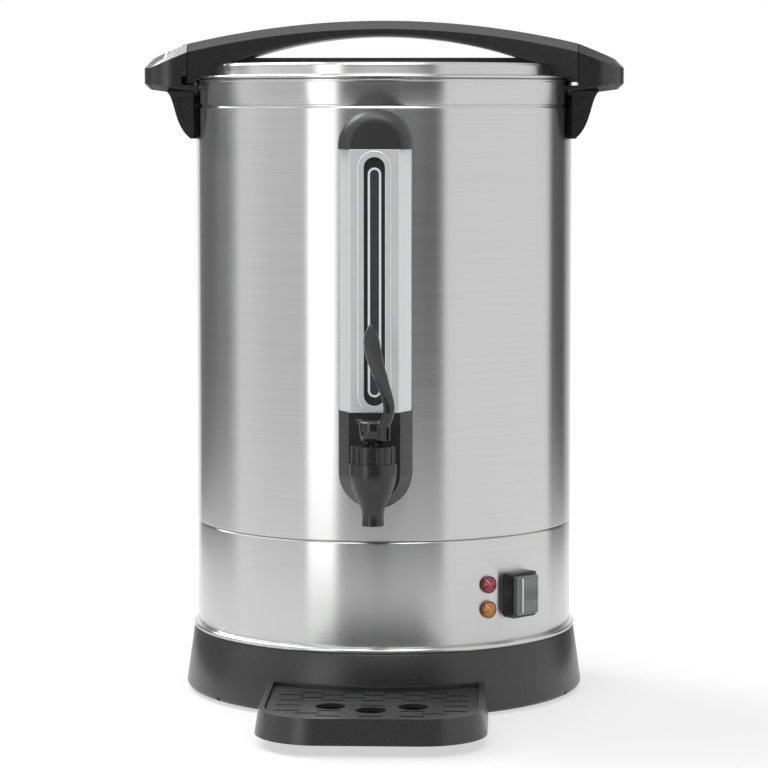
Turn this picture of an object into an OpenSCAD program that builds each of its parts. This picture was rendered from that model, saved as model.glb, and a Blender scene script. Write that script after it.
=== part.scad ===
// Coffee urn: steel tank on a black foot, with a lift-off lid, a sight gauge, a lever tap and a drip tray.
// Millimetres. The origin is on the urn's axis, on the surface it stands on. The front is -Y.

/* [Tank and skirt] */
// Outer radius of the tank and the skirt
body_r = 145; // [130:1:160]
// Height of the tank shell, from the seam to the rim
tank_h = 340; // [310:1:380]
// Height of the skirt, from its bead to the seam
skirt_h = 79; // [72:1:95]
// Thickness of the steel sheet
sheet = 1; // [0.8:0.1:1.3]
// Rounding of the two sheet edges at the seam
seam_round = 1.6; // [1.4:0.1:2.4]
// Width of the flanges that meet at the seam
seam_flange = 7; // [5:0.5:10]
// Height of the tank floor above the seam
floor_rise = 14; // [10:1:20]
// Height of the plain band above the top groove
rim_band = 20; // [16:1:24]
// Radius of the curled rim
rim_curl = 1.2; // [1:0.1:1.5]
// Height of the rolled bead under the skirt
bead_h = 4; // [3:0.5:5]
// How far the bead stands out from the skirt
bead_out = 3.5; // [3:0.5:5]

/* [Base] */
// Height of the foot ring below the edge of the base
foot_h = 2; // [1.5:0.5:4]
// Height of the base
base_h = 47; // [42:1:56]
// How far the base widens from top to bottom
base_flare = 6; // [3:0.5:10]
// Wall of the base
base_wall = 2.6; // [2:0.1:3.5]
// Rounding of the lower edge of the base
base_round = 4; // [3:0.5:5]
// Thickness of the bottom plate
plate_t = 1.6; // [1:0.1:2.2]
// Half width of the foot ring
foot_half = 8; // [6:0.5:10]
// Distance of the foot ring inside the tank's radius
foot_in = 33; // [31:1:42]

/* [Lid] */
// How far the lid's flange stands out from the tank
lid_over = 1.7; // [1.2:0.1:3]
// Thickness of the flange
lid_edge = 2.2; // [1.8:0.1:3]
// Width of the flange outside the raised disc
lid_flange = 12.2; // [10:0.2:15]
// Height of the raised disc above the flange
disc_h = 9.4; // [7:0.2:12]
// Gap between the lid and the rim
lid_gap = 0.4; // [0.3:0.1:0.6]
// Depth of the ring that centres the lid in the tank
lid_plug = 10; // [6:1:16]

/* [Handles] */
// Height of the arch above the raised disc
arch_h = 33; // [29:0.5:40]
// Radius of the arch's upper line
arch_r = 637; // [560:1:720]
// Thickness of the arch at its middle
arch_t = 12; // [10:0.5:13]
// Distance of the finger gap's ends from the edge of the raised disc
gap_end = 31; // [26:0.5:36]
// Half width of the arch at its middle
arch_half = 22; // [18:0.5:26]
// Height of the strip under the arch
strip_h = 4.7; // [4:0.1:6]
// Half width of the side handles
grip_half = 34; // [30:0.5:38]
// Distance of the side handles' outer end from the tank
grip_out = 39.6; // [36:0.2:46]
// Distance of the seam between lid handle and side handle from the tank
grip_seam = 4.4; // [3.8:0.2:6]
// Plan rounding of the side handles
grip_round = 26; // [20:0.5:29]
// Width of the sloped edge along the top of the handles
edge_w = 6.6; // [5:0.2:8]
// Height of that sloped edge
edge_h = 6.5; // [5:0.1:8]
// Gap in the handle seam
grip_gap = 0.6; // [0.4:0.1:0.9]
// How far the left end of the lid handle reaches past the seam
tongue = 3.6; // [2.6:0.2:5]
// Thickness of the lip in front of that end
lip_t = 7; // [6:0.2:9]

/* [Sight gauge] */
// Depth of the gauge column in front of the tank
col_depth = 28; // [27:0.5:32]
// Half width of the column at the tank
col_half = 26; // [24.5:0.5:30]
// Width of the bevels beside the column's front
col_bevel = 8.2; // [6:0.2:9]
// Depth of those bevels
col_bevel_d = 17; // [12:0.5:20]
// Wall of the column's shells
col_wall = 2.2; // [1.8:0.1:2.5]
// Width of the slot in the bezel
slot_w = 15.4; // [13:0.2:18]
// Width of the raised rim around the slot
slot_rim = 4.3; // [3:0.1:5]
// Height of that rim
rim_proud = 0.9; // [0.5:0.1:1.5]
// Width of the window in the scale
window_w = 6.9; // [5:0.1:9]
// Outer radius of the sight tube
tube_r = 5; // [4.4:0.1:5.4]
// Wall of the sight tube
tube_wall = 1.4; // [1:0.1:1.8]

/* [Tap] */
// Distance of the tap's axis from the tank
tap_reach = 53; // [51:0.5:60]
// Height of the tap's shank above the seam
tap_rise = 58; // [54:1:70]
// Depth of the nozzle below the shank
nozzle_drop = 38; // [35:0.5:44]
// Outer radius of the barrel
barrel_r = 16.9; // [15.5:0.1:19]
// Radius of the nozzle
nozzle_r = 7.8; // [7:0.1:9]
// Radius of the threaded shank
shank_r = 8; // [7.6:0.1:8.6]
// Radius of the stem
stem_r = 3; // [2.6:0.1:3.4]
// Radius of the lever pin
pin_r = 1.75; // [1.5:0.05:2]
// Turn of the lever's plane from the front, toward +X
lever_turn = 45; // [0:1:70]
// Half width of the spoon
spoon_half = 7.6; // [6:0.1:9]

/* [Drip tray] */
// Width of the tray
tray_w = 160; // [140:1:180]
// Reach of the tray's front from the tank
tray_reach = 131.5; // [115:0.5:150]
// Height of the tray's rim
tray_top = 26.8; // [25:0.2:30]
// How far the tray widens from its rim to its bottom
tray_flare = 3; // [1:0.5:4]
// Plan rounding of the tray's front corners
tray_round = 44; // [32:1:50]
// Wall of the tray
tray_wall = 4; // [3:0.2:5]
// Depth of the grid below the rim
grid_drop = 3; // [1.5:0.5:5]
// Thickness of the grid
grid_t = 3; // [2:0.5:4]
// Diameter of the finger holes in the grid
finger_d = 22; // [20:1:26]

/* [Control panel] */
// Azimuth of the lamps, from the front toward +X
lamp_azimuth = 34.5; // [30:0.5:36]
// Azimuth of the switch
switch_azimuth = 45.6; // [44.5:0.1:52]
// Distance between the lamps
lamp_pitch = 18.7; // [16:0.1:22]
// Radius of a lamp's lens
lamp_r = 6.5; // [5.5:0.1:7.5]
// Width of the switch frame
switch_w = 27; // [25.5:0.5:30]
// Height of the switch frame
switch_h = 34; // [33:0.5:38]
// How far the frame stands out from the skirt
switch_out = 7.5; // [7:0.1:9]

/* [Heater and percolator] */
// Radius of the heat plate under the floor
heat_r = 68; // [62:1:80]
// Thickness of the heat plate
heat_t = 4; // [3:0.5:6]
// Radius of the element's ring
element_at = 52; // [48:0.5:56]
// Outer radius of the percolator tube
perc_r = 6; // [5:0.5:8]
// Radius of the coffee basket
basket_r = 58; // [45:1:75]
// Height of the coffee basket
basket_h = 85; // [60:1:110]
// Height of the basket's floor above the tank's floor
basket_up = 182; // [150:1:195]

/* [Hidden] */
$fn = 96;

// Clearances
seat = 0.15;
running = 0.05;
moving = 0.4;
over = 1;

// Levels
z_base = foot_h;
z_plate = z_base + 1;
z_plate_top = z_plate + plate_t;
z_base_top = z_base + base_h;
z_skirt = z_base_top + bead_h;
z_seam = z_skirt + skirt_h;
z_floor = z_seam + floor_rise;
z_floor_top = z_floor + sheet;
z_heat = z_floor - heat_t;
z_rim = z_seam + tank_h;
z_groove = z_rim - rim_band;
z_lid = z_rim + lid_gap;
z_flange = z_lid + lid_edge;
z_disc = z_flange + disc_h;
z_tap = z_seam + tap_rise;
z_panel = z_skirt + skirt_h / 2 - 4.5;

// Base
base_top_r = body_r + 3;
base_bot_r = base_top_r + base_flare;
base_ledge_r = base_bot_r - base_round - 1.5;
base_flange_r = body_r - 20;
boss_at = body_r - 13;
boss_r = 5;
base_screw_r = 1.85;
base_screw_l = 15;
screw_azimuths = [60, 180, 300];
foot_at = body_r - foot_in;
foot_azimuths = [45, 135, 225, 315];
notch_azimuths = [-52.5, 67, 187];
foot_stem_r = 3;

// Lid
lid_r = body_r + lid_over;
disc_r = lid_r - lid_flange;
disc_slope = 1.5;
disc_round = 2;
plug_r = body_r - sheet - rim_curl - 1.5;
lid_screw_at = disc_r - 22.5;
lid_screw_r = 2;
lid_screw_head = 4;
lid_screw_l = 7;
lid_screw_head_h = 2.5;

// Handles
z_arch = z_disc + arch_h;
gap_half = disc_r - gap_end;
gap_h = arch_h - arch_t - strip_h;
arch_under_r = (gap_half * gap_half + gap_h * gap_h) / (2 * gap_h);
seam_x = body_r + grip_seam;
z_shelf = z_rim - 4.5;
z_lip = z_lid + 2;
grip_x = body_r + grip_out;
grip_slope = 0.41;
z_grip_low = z_rim - 12;
grip_low_slope = 0.13;
low_edge = 4.4;
bracket_core = 20;
bracket_half = grip_half - 0.6;
bracket_drop = 45;
panel_in = 4;
panel_round = 2;
panel_d = 0.8;
flange_t = 4;
flange_half = 27;
handle_screw_r = 2;
handle_screw_head = 4;
handle_screw_y = 12;
z_handle_screw = z_rim - 33;

// Gauge column
col_y = body_r + col_depth;
col_front = col_half - col_bevel;
housing_above = 40.6;
z_housing_top = z_tap + housing_above;
cap_drop = 3;
z_cap = z_groove - cap_drop - col_half - 2;
cap_over = 1;
z_cap_mid = z_cap + 2;
housing_below = 4.5;
z_housing_mid = z_tap - housing_below;
tube_y = body_r + 17;
z_tube = z_tap + 28;
z_tube_top = z_cap + 6;
seal_t = 1.5;
seal_h = 5;
socket_r = tube_r + seal_t + 2;
scale_t = 1.5;
scale_half = slot_w / 2 + 4.5;
z_slot = z_housing_top + 5;
z_slot_top = z_cap - 5.6;
window_margin = 6.4;
cap_screw_r = 2;
cap_screw_l = 14;
housing_proud = 0.85;
z_cap_screw = z_cap_mid + 14;

// Tap
tap_y = body_r + tap_reach;
z_nozzle = z_tap - nozzle_drop;
z_neck = z_nozzle + 6;
z_barrel_top = z_tap + 7;
z_barrel_wide = z_tap + 1.3;
z_seat = z_tap - 12;
cavity_r = 10.5;
thread_r = 13.2;
thread_h = 6;
bonnet_h = 12.5;
bonnet_r = barrel_r - 1.5;
bonnet_rib = 0.8;
bonnet_ribs = 14;
z_bonnet_top = z_barrel_top + bonnet_h;
z_pin = z_bonnet_top + 9.5;
flow_r = 5;
nozzle_bore = 5.6;
shank_in = 21;
nut_t = 7;
seal_disc_t = 2;
tee_r = shank_r + 4;
head_r = 10.2;
head_low = -8.5;
head_top = 8.4;
eye_r = 4.6;
eye_half = 4.4;
lever_swing = 30;
barrel_steps = 10;

// Drip tray
tray_low = 8.2;
tray_y = body_r + tray_reach;
tray_ledge = 3.5;
tray_floor = 2.2;
tray_gap = 0.5;
hook_x = 45;
hook_w = 24;
hook_z = 13;
hook_h = 6;
hook_reach = 10;
finger_spots = [for (p = [[-29.7, 59.5], [0, 46], [29.7, 59.5]]) [p[0], p[1] - tray_y]];

// Panel
lamp_body_r = 5;
lamp_nut_t = 3;
rocker_axis = body_r + 1.5;
rocker_half_w = 9;
rocker_half_h = 11.5;
rocker_tilt = 8;
rocker_pin_r = 1.5;
switch_body_d = 24;

// Heater
stud_r = 2.5;
stud_at = 32;
stud_azimuths = [30, 150, 270];
element_r = 4.2;
tail_r = 2.2;
tail_l = 12;
blade_l = 9;
nut_h = 4;
nut_r = 4.6;
gland_r = 9;
gland_bore = 4;
z_gland = z_skirt + 24;
block_in = 45;
block_y = body_r - block_in;
block_size = [44, 16, 16];

// Shared shapes

// Turns the front toward an azimuth that is measured from -Y to +X
module at_azimuth(a) rotate([0, 0, a]) children();

// Rod that points outward to the front, between two distances from the axis
module radial_rod(r, from, to, z, x = 0)
    translate([x, -from, z]) rotate([90, 0, 0]) cylinder(r = r, h = to - from);

// Rounded corner piece, a quarter disc that faces the signs given
module quarter(r, sx, sy) intersection() {
    circle(r);
    translate([sx > 0 ? 0 : -r, sy > 0 ? 0 : -r]) square(r);
}

module rounded_box2(w, h, r) {
    square([w - 2 * r, h], center = true);
    square([w, h - 2 * r], center = true);
    for (sx = [-1, 1], sy = [-1, 1]) translate([sx * (w / 2 - r), sy * (h / 2 - r)]) circle(r);
}

// Upright slot with round ends, from z0 to z1, in the x-z drawing plane
module slot2(w, z0, z1) {
    translate([-w / 2, z0 + w / 2]) square([w, z1 - z0 - w]);
    for (z = [z0 + w / 2, z1 - w / 2]) translate([0, z]) circle(w / 2);
}

// Skin through closed rings of points. Each ring runs anticlockwise, seen from the last ring.
module loft(rings) {
    n = len(rings[0]);
    last = len(rings) - 1;
    polyhedron(
        points = [for (ring = rings) each ring],
        faces = concat(
            [[for (i = [0:n - 1]) i]],
            [for (k = [0:last - 1], i = [0:n - 1]) each [
                [k * n + i, (k + 1) * n + i, (k + 1) * n + (i + 1) % n],
                [k * n + i, (k + 1) * n + (i + 1) % n, k * n + (i + 1) % n]]],
            [[for (i = [n - 1:-1:0]) last * n + i]]));
}

function bezier(p, t) = pow(1 - t, 3) * p[0] + 3 * t * pow(1 - t, 2) * p[1]
    + 3 * t * t * (1 - t) * p[2] + pow(t, 3) * p[3];

// Point on a smooth curve through a list of points, with s from 0 to the last index
function along(p, s) = let (
        i = min(floor(s), len(p) - 2),
        t = s - i,
        a = p[max(i - 1, 0)], b = p[i], c = p[i + 1], d = p[min(i + 2, len(p) - 1)])
    b + 0.5 * t * (c - a + t * (2 * a - 5 * b + 4 * c - d) + t * t * (3 * b - a - 3 * c + d));

// Tank and skirt

module tank_section() difference() {
    union() {
        translate([body_r - sheet, z_seam + seam_round]) square([sheet, tank_h - seam_round - rim_curl]);
        translate([body_r - seam_flange, z_seam]) square([seam_flange - seam_round, sheet]);
        translate([body_r - seam_round, z_seam + seam_round]) quarter(seam_round, 1, -1);
        translate([0, z_floor]) square([body_r - sheet / 2, sheet]);
        translate([body_r - sheet / 2, z_rim - rim_curl]) circle(rim_curl);
        translate([body_r - sheet, z_groove]) circle(rim_curl);
    }
    translate([body_r + rim_curl / 2, z_groove]) circle(rim_curl);
}

module tank() color("silver") {
    difference() {
        rotate_extrude() tank_section();
        radial_rod(shank_r + seat, body_r - 8, body_r + over, z_tap);
        radial_rod(cap_screw_r + seat, body_r - 8, body_r + over, z_cap_screw);
        for (a = [90, 270], x = [-1, 1] * handle_screw_y) at_azimuth(a)
            radial_rod(handle_screw_r + seat, body_r - 8, body_r + over, z_handle_screw, x);
    }
    for (a = stud_azimuths) at_azimuth(a)
        translate([0, -stud_at, z_heat - 10]) cylinder(r = stud_r, h = heat_t + 10 + sheet / 2);
}

module skirt_section() {
    translate([body_r - sheet, z_base_top]) square([sheet, bead_h + skirt_h - seam_round]);
    translate([body_r - seam_flange, z_seam - sheet]) square([seam_flange - seam_round, sheet]);
    translate([body_r - seam_round, z_seam - seam_round]) quarter(seam_round, 1, 1);
    translate([body_r - sheet, z_base_top]) square([sheet + bead_out - bead_h / 2, bead_h]);
    translate([body_r + bead_out - bead_h / 2, z_base_top + bead_h / 2]) circle(bead_h / 2);
}

module skirt() color("silver") difference() {
    rotate_extrude() skirt_section();
    at_azimuth(switch_azimuth) translate([0, -body_r, z_panel])
        cube([switch_w - 3, 16, switch_h - 3.4], center = true);
    for (s = [-1, 1]) at_azimuth(lamp_azimuth)
        radial_rod(lamp_body_r + seat, body_r - 8, body_r + over, z_panel + s * lamp_pitch / 2);
    at_azimuth(180) radial_rod(gland_r + seat, body_r - 8, body_r + over, z_gland);
}

// Base

function base_slope_r(z) = base_bot_r - base_flare * (z - z_base - base_round) / (base_h - base_round);

module base_section() {
    z_ledge = z_plate_top;
    polygon(concat(
        [[base_ledge_r, z_base]],
        [for (a = [-90:15:0]) [base_bot_r - base_round * (1 - cos(a)), z_base + base_round * (1 + sin(a))]],
        [[base_top_r, z_base_top], [base_flange_r, z_base_top], [base_flange_r, z_base_top - base_wall],
            [base_slope_r(z_base_top - base_wall) - base_wall, z_base_top - base_wall],
            [base_slope_r(z_ledge + base_wall) - base_wall, z_ledge + base_wall],
            [base_ledge_r - 8, z_ledge + base_wall], [base_ledge_r - 8, z_ledge], [base_ledge_r, z_ledge]]));
}

module base() color("#2b2b2c") difference() {
    union() {
        rotate_extrude() base_section();
        for (a = screw_azimuths) at_azimuth(a) translate([0, -boss_at, z_plate_top])
            cylinder(r = boss_r, h = z_base_top - z_plate_top - base_wall / 2);
    }
    for (a = screw_azimuths) at_azimuth(a) translate([0, -boss_at, z_plate_top - over])
        cylinder(r = base_screw_r + running, h = base_screw_l + over + 2);
    for (x = [-1, 1] * hook_x) translate([x - hook_w / 2 - moving, -base_bot_r - over, hook_z - moving])
        cube([hook_w + 2 * moving, 40, hook_h + 2 * moving]);
    for (a = notch_azimuths) at_azimuth(a) translate([-2, -base_bot_r - over, z_base - over])
        cube([4, base_round + over, 3.4 + over]);
}

module base_plate() color("#8f9294") difference() {
    translate([0, 0, z_plate]) cylinder(r = base_ledge_r - 2 * seat, h = plate_t);
    for (a = screw_azimuths) at_azimuth(a) translate([0, -boss_at, 0])
        cylinder(r = base_screw_r + seat, h = z_base_top);
    for (a = foot_azimuths) at_azimuth(a) translate([0, -foot_at, 0])
        cylinder(r = foot_stem_r + seat, h = z_base_top);
    for (a = [15:30:345]) at_azimuth(a) translate([-3, -(foot_at + foot_half + 17), 0])
        cube([6, 14, z_base_top]);
}

// Rubber ring that the urn stands on, with plugs that snap into the bottom plate
module foot_ring() color("#202020") {
    rotate_extrude() translate([foot_at, 0]) polygon([[1 - foot_half, 0], [foot_half - 1, 0], [foot_half, 1],
        [foot_half, z_plate], [-foot_half, z_plate], [-foot_half, 1]]);
    for (a = foot_azimuths) at_azimuth(a) translate([0, -foot_at, 0]) rotate_extrude() polygon([
        [0, z_plate - over], [foot_stem_r, z_plate - over], [foot_stem_r, z_plate_top + seat],
        [foot_stem_r + 1.2, z_plate_top + seat], [foot_stem_r, z_plate_top + 3], [0, z_plate_top + 3]]);
}

module base_screws() color("#b8babc") for (a = screw_azimuths) at_azimuth(a) translate([0, -boss_at, 0])
    difference() {
        union() {
            translate([0, 0, z_plate - 1.8]) cylinder(r = 2 * base_screw_r, h = 1.8);
            translate([0, 0, z_plate - 1]) cylinder(r = base_screw_r, h = plate_t + base_screw_l);
        }
        for (t = [0, 90]) translate([0, 0, z_plate - 1.8]) rotate(t) cube([4, 0.9, 1.6], center = true);
    }

// Heater and wiring

module heat_plate() color("#b9bcbe") difference() {
    translate([0, 0, z_heat]) cylinder(r = heat_r, h = heat_t);
    for (a = stud_azimuths) at_azimuth(a) translate([0, -stud_at, z_heat - over])
        cylinder(r = stud_r + seat, h = heat_t + 2 * over);
}

module heating_element() color("#6f7274") {
    translate([0, 0, z_heat]) rotate(-70) rotate_extrude(angle = 320) translate([element_at, 0]) {
        translate([-element_r, -element_r]) square([2 * element_r, element_r]);
        translate([0, -element_r]) circle(element_r);
    }
    for (a = [-70, 250]) rotate(a) translate([element_at, 0, z_heat - 2 * element_r - tail_l]) {
        cylinder(r = tail_r, h = tail_l + element_r);
        translate([-3, -0.5, -blade_l]) cube([6, 1, blade_l + 1]);
    }
}

module plate_nuts() color("#b8babc") for (a = stud_azimuths) at_azimuth(a)
    translate([0, -stud_at, z_heat - nut_h]) difference() {
        cylinder(r = nut_r, h = nut_h, $fn = 6);
        translate([0, 0, -over]) cylinder(r = stud_r + running, h = nut_h + 2 * over);
    }

// Disc thermostat with a flange against the heat plate and two blade terminals
module disc_switch(r, h) {
    cylinder(r = r, h = h);
    translate([0, 0, h - 2]) cylinder(r = r + 1.5, h = 2);
    translate([0, 0, -3]) cylinder(r = r * 0.7, h = 4);
    for (s = [-1, 1]) translate([s * r * 0.45 - 3, -0.4, -11]) cube([6, 0.8, 9]);
}

module control_thermostat() color("#37322d") translate([0, -14, z_heat - 12]) disc_switch(9.5, 12);

module boil_dry_cutout() color("#c9c2ae") translate([0, 14, z_heat - 10]) disc_switch(8, 10);

module terminal_block() color("#e6e0cf") translate([-block_size[0] / 2, block_y, z_plate_top]) difference() {
    cube(block_size);
    for (i = [0:2]) translate([(i + 0.5) * block_size[0] / 3, block_size[1] / 2, 3]) {
        cylinder(r = 3.4, h = block_size[2]);
        translate([0, 0, 3]) rotate([90, 0, 0]) cylinder(r = 2, h = block_size[1] + 2, center = true);
    }
}

// Routes of the leads, from the terminal block to the cutout, the switch and the element
lead_r = 1.6;
z_hole = z_plate_top + 6;
z_blade = z_heat - 21.3;
z_tail = z_heat - 2 * element_r - tail_l - blade_l - 0.3;
lead_x = block_size[0] / 3;
pin_in = body_r - switch_body_d - 7.7;

// Level at a share of the way up from the terminal block to the element
function rise(share) = z_hole + share * (z_tail - z_hole);

routes = [
    [[-lead_x, block_y + 6, z_hole], [-lead_x, block_y - 4, z_hole], [-lead_x, block_y - 13, z_hole],
        [-21, 68, rise(0.25)], [-18, 42, rise(0.55)], [-6, 20, rise(0.84)], [-3.6, 14, z_blade]],
    [[0, block_y + 6, z_hole], [0, block_y - 4, z_hole], [0, block_y - 13, z_hole],
        [26, 66, rise(0.2)], [66, 18, rise(0.45)], [80, -40, rise(0.64)],
        [pin_in * sin(switch_azimuth), -pin_in * cos(switch_azimuth), z_panel - 8]],
    [[lead_x, block_y + 6, z_hole], [lead_x, block_y - 4, z_hole], [lead_x, block_y - 13, z_hole],
        [30, 66, rise(0.3)], [42, 22, rise(0.64)], [24, -36, rise(0.84)],
        [element_at * cos(70), -element_at * sin(70), z_tail]]];

// Round tube along a smooth curve through a route's points
module lead(route, steps = 6, sides = 8) {
    stops = [for (i = [0:(len(route) - 1) * steps]) along(route, i / steps)];
    last = len(stops) - 1;
    loft([for (i = [0:last]) let (
            d = stops[min(i + 1, last)] - stops[max(i - 1, 0)],
            w = d / norm(d),
            side = cross(w, [1, 0.02, 0.01]),
            u = side / norm(side),
            v = cross(w, u))
        [for (k = [0:sides - 1]) let (a = 360 * k / sides) stops[i] + lead_r * (u * cos(a) + v * sin(a))]]);
}

module wiring() color("#a33a2c") for (route = routes) lead(route);

module cord_gland() color("#1d1d1e") at_azimuth(180) difference() {
    union() {
        radial_rod(gland_r, body_r - 14, body_r + 2, z_gland);
        radial_rod(gland_r + 3.5, body_r + seat, body_r + 5, z_gland);
        translate([0, -body_r - 5, z_gland]) rotate([90, 0, 0])
            cylinder(r1 = gland_r + 1, r2 = gland_r - 2, h = 9);
        translate([0, -(body_r - sheet - 6.5), z_gland]) rotate([90, 0, 0])
            cylinder(r = gland_r + 4, h = 5.5, $fn = 6);
    }
    radial_rod(gland_bore, body_r - 15, body_r + 15, z_gland);
}

// Sight gauge

// Outline of the column seen from above, drawn in by an inset
module column_plan(half, inset) polygon([
    [-half + inset, -body_r + 25], [-half + inset, -(col_y - col_bevel_d)],
    [-half + col_bevel + inset * 0.8, -(col_y - inset)], [half - col_bevel - inset * 0.8, -(col_y - inset)],
    [half - inset, -(col_y - col_bevel_d)], [half - inset, -body_r + 25]]);

// Round end of the column about a level: a drum with a cone in front of it
module column_end(half, inset, z) {
    radial_rod(half - inset, body_r - 25, col_y - col_bevel_d, z);
    translate([0, -(col_y - col_bevel_d), z]) rotate([90, 0, 0])
        cylinder(r1 = half - inset, r2 = half - col_bevel - inset * 0.8, h = col_bevel_d - inset);
}

// The tank's place behind the column
module behind_column() translate([0, 0, z_seam]) cylinder(r = body_r + seat, h = tank_h + over);

module gauge_bezel() color("#d5d6d7") difference() {
    union() {
        translate([0, 0, z_housing_top]) linear_extrude(z_cap - z_housing_top) column_plan(col_half, 0);
        translate([0, -col_y + over, 0]) rotate([90, 0, 0]) linear_extrude(over + rim_proud)
            slot2(slot_w + 2 * slot_rim, z_slot - slot_rim, z_slot_top + slot_rim);
    }
    translate([0, 0, z_housing_top - over]) linear_extrude(z_cap - z_housing_top + 2 * over)
        column_plan(col_half, col_wall);
    translate([0, -col_y + 2 * col_wall, 0]) rotate([90, 0, 0]) linear_extrude(4 * col_wall)
        slot2(slot_w, z_slot, z_slot_top);
    behind_column();
}

module gauge_scale() color("#1b1b1c") translate([0, -col_y + col_wall + scale_t, 0]) rotate([90, 0, 0])
    linear_extrude(scale_t) difference() {
        translate([-scale_half, z_slot - 4]) square([2 * scale_half, z_slot_top - z_slot + 8]);
        slot2(window_w, z_slot + window_margin + 1.5, z_slot_top - window_margin - 1.5);
    }

module sight_tube() color("#dfe8ea") translate([0, -tube_y, z_tube]) difference() {
    cylinder(r = tube_r, h = z_tube_top - z_tube);
    translate([0, 0, -over]) cylinder(r = tube_r - tube_wall, h = z_tube_top - z_tube + 2 * over);
}

module tube_seals() color("#3a3a3a") for (z = [z_tube + seat, z_tube_top - seal_h - seat])
    translate([0, -tube_y, z]) difference() {
        cylinder(r = tube_r + seal_t, h = seal_h);
        translate([0, 0, -over]) cylinder(r = tube_r + running, h = seal_h + 2 * over);
    }

module gauge_tee() color("#55585a") difference() {
    union() {
        radial_rod(tee_r, body_r + seal_disc_t + 2 * seat, col_y - col_wall - seat, z_tap);
        translate([0, -tube_y, z_tap]) cylinder(r = socket_r, h = z_tube - z_tap + seal_h + 3);
    }
    radial_rod(shank_r + seat, body_r, col_y, z_tap);
    translate([0, -tube_y, z_tube]) cylinder(r = tube_r + seal_t + running, h = seal_h + 4);
    translate([0, -tube_y, z_tap]) cylinder(r = tube_r - tube_wall, h = z_tube - z_tap + over);
}

module gauge_cap() color("#2b2b2c") difference() {
    half = col_half + cap_over;
    union() {
        difference() {
            column_end(half, 0, z_cap_mid);
            column_end(half, col_wall, z_cap_mid);
        }
        intersection() {
            column_end(half, col_wall / 2, z_cap_mid);
            union() {
                translate([0, -tube_y, z_cap]) cylinder(r = socket_r, h = z_tube_top - z_cap + 3);
                translate([-4, -col_y, z_cap]) cube([8, col_y - tube_y, z_tube_top - z_cap + 3]);
                radial_rod(5, body_r, col_y, z_cap_screw);
            }
        }
    }
    translate([-2 * half, -2 * col_y, z_cap - 2 * half]) cube([4 * half, 2 * col_y, 2 * half]);
    translate([0, -tube_y, z_cap - over])
        cylinder(r = tube_r + seal_t + running, h = z_tube_top - z_cap + over + seat);
    radial_rod(cap_screw_r + running, body_r - 5, body_r + cap_screw_l + 2, z_cap_screw);
    behind_column();
}

module cap_screw() color("#b8babc") {
    radial_rod(cap_screw_r, body_r - sheet - 3, body_r + cap_screw_l, z_cap_screw);
    radial_rod(2 * cap_screw_r, body_r - sheet - 3, body_r - sheet - seat, z_cap_screw);
}

module tap_housing() color("#2b2b2c") difference() {
    half = col_half + housing_proud;
    union() {
        translate([0, 0, z_housing_mid]) linear_extrude(z_housing_top - z_housing_mid) column_plan(half, 0);
        column_end(half, 0, z_housing_mid);
    }
    translate([0, 0, z_housing_mid]) linear_extrude(z_housing_top - z_housing_mid + over)
        column_plan(half, col_wall);
    column_end(half, col_wall, z_housing_mid);
    radial_rod(shank_r + seat, body_r, col_y + over, z_tap);
    behind_column();
}

// Tap

// Radius of the barrel, from its widest level at t = 0 down to the neck at t = 1
function barrel_line(t) = nozzle_r + (barrel_r - nozzle_r) * (0.5 + 0.5 * cos(180 * pow(t, 1.15)));

module tap_body() color("#29292a") translate([0, -tap_y, 0]) difference() {
    rotate_extrude() polygon(concat(
        [[0, z_nozzle], [nozzle_r + 0.3, z_nozzle], [nozzle_r, z_nozzle + 3]],
        [for (i = [barrel_steps:-1:0]) let (t = i / barrel_steps)
            [barrel_line(t), z_barrel_wide - t * (z_barrel_wide - z_neck)]],
        [[barrel_r, z_barrel_top], [thread_r, z_barrel_top], [thread_r, z_barrel_top + thread_h],
            [0, z_barrel_top + thread_h]]));
    translate([0, 0, z_seat]) cylinder(r = cavity_r, h = z_barrel_top + thread_h - z_seat + over);
    translate([0, 0, z_nozzle - over]) cylinder(r = nozzle_bore, h = z_seat - z_nozzle + 2 * over);
    translate([0, tap_y, 0]) radial_rod(flow_r, tap_y - 2 * barrel_r, tap_y, z_tap);
}

// Threaded tube that carries the tap: saddled to the barrel, flanged against the housing
module tap_shank() color("#29292a") difference() {
    union() {
        radial_rod(shank_r, body_r - shank_in, tap_y - 12, z_tap);
        radial_rod(shank_r + 4, col_y + seat, col_y + 3, z_tap);
    }
    translate([0, -tap_y, z_nozzle]) cylinder(r = barrel_r + seat, h = 3 * nozzle_drop);
    radial_rod(flow_r, body_r - shank_in - over, tap_y, z_tap);
    translate([0, -tube_y, z_tap]) cylinder(r = tube_r / 2, h = shank_r + over);
}

module tap_bonnet() color("#29292a") translate([0, -tap_y, z_barrel_top]) difference() {
    union() {
        cylinder(r = bonnet_r, h = bonnet_h);
        for (i = [1:bonnet_ribs]) rotate(i * 360 / bonnet_ribs) translate([bonnet_r, 0, 0])
            cylinder(r = bonnet_rib, h = bonnet_h - 1.2);
    }
    translate([0, 0, -over]) cylinder(r = thread_r + running, h = thread_h + over + seat);
    cylinder(r = cavity_r, h = thread_h + 1.5);
    cylinder(r = stem_r + running, h = bonnet_h + over);
}

// The lever's plane at the tap: u runs outward in that plane, and the pin lies across it
module at_lever() translate([0, -tap_y, z_pin]) rotate(lever_turn) rotate(-90) children();

module across_rod(r, half) rotate([90, 0, 0]) cylinder(r = r, h = 2 * half, center = true);

module tap_stem() color("#2d2d2e") at_lever() difference() {
    union() {
        translate([0, 0, z_seat + 6 - z_pin]) cylinder(r = stem_r, h = z_pin - z_seat - 6);
        translate([0, 0, z_seat + 6 - z_pin]) cylinder(r = stem_r + 1.5, h = 2);
        across_rod(eye_r, eye_half);
    }
    across_rod(pin_r + running, eye_half + over);
}

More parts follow.
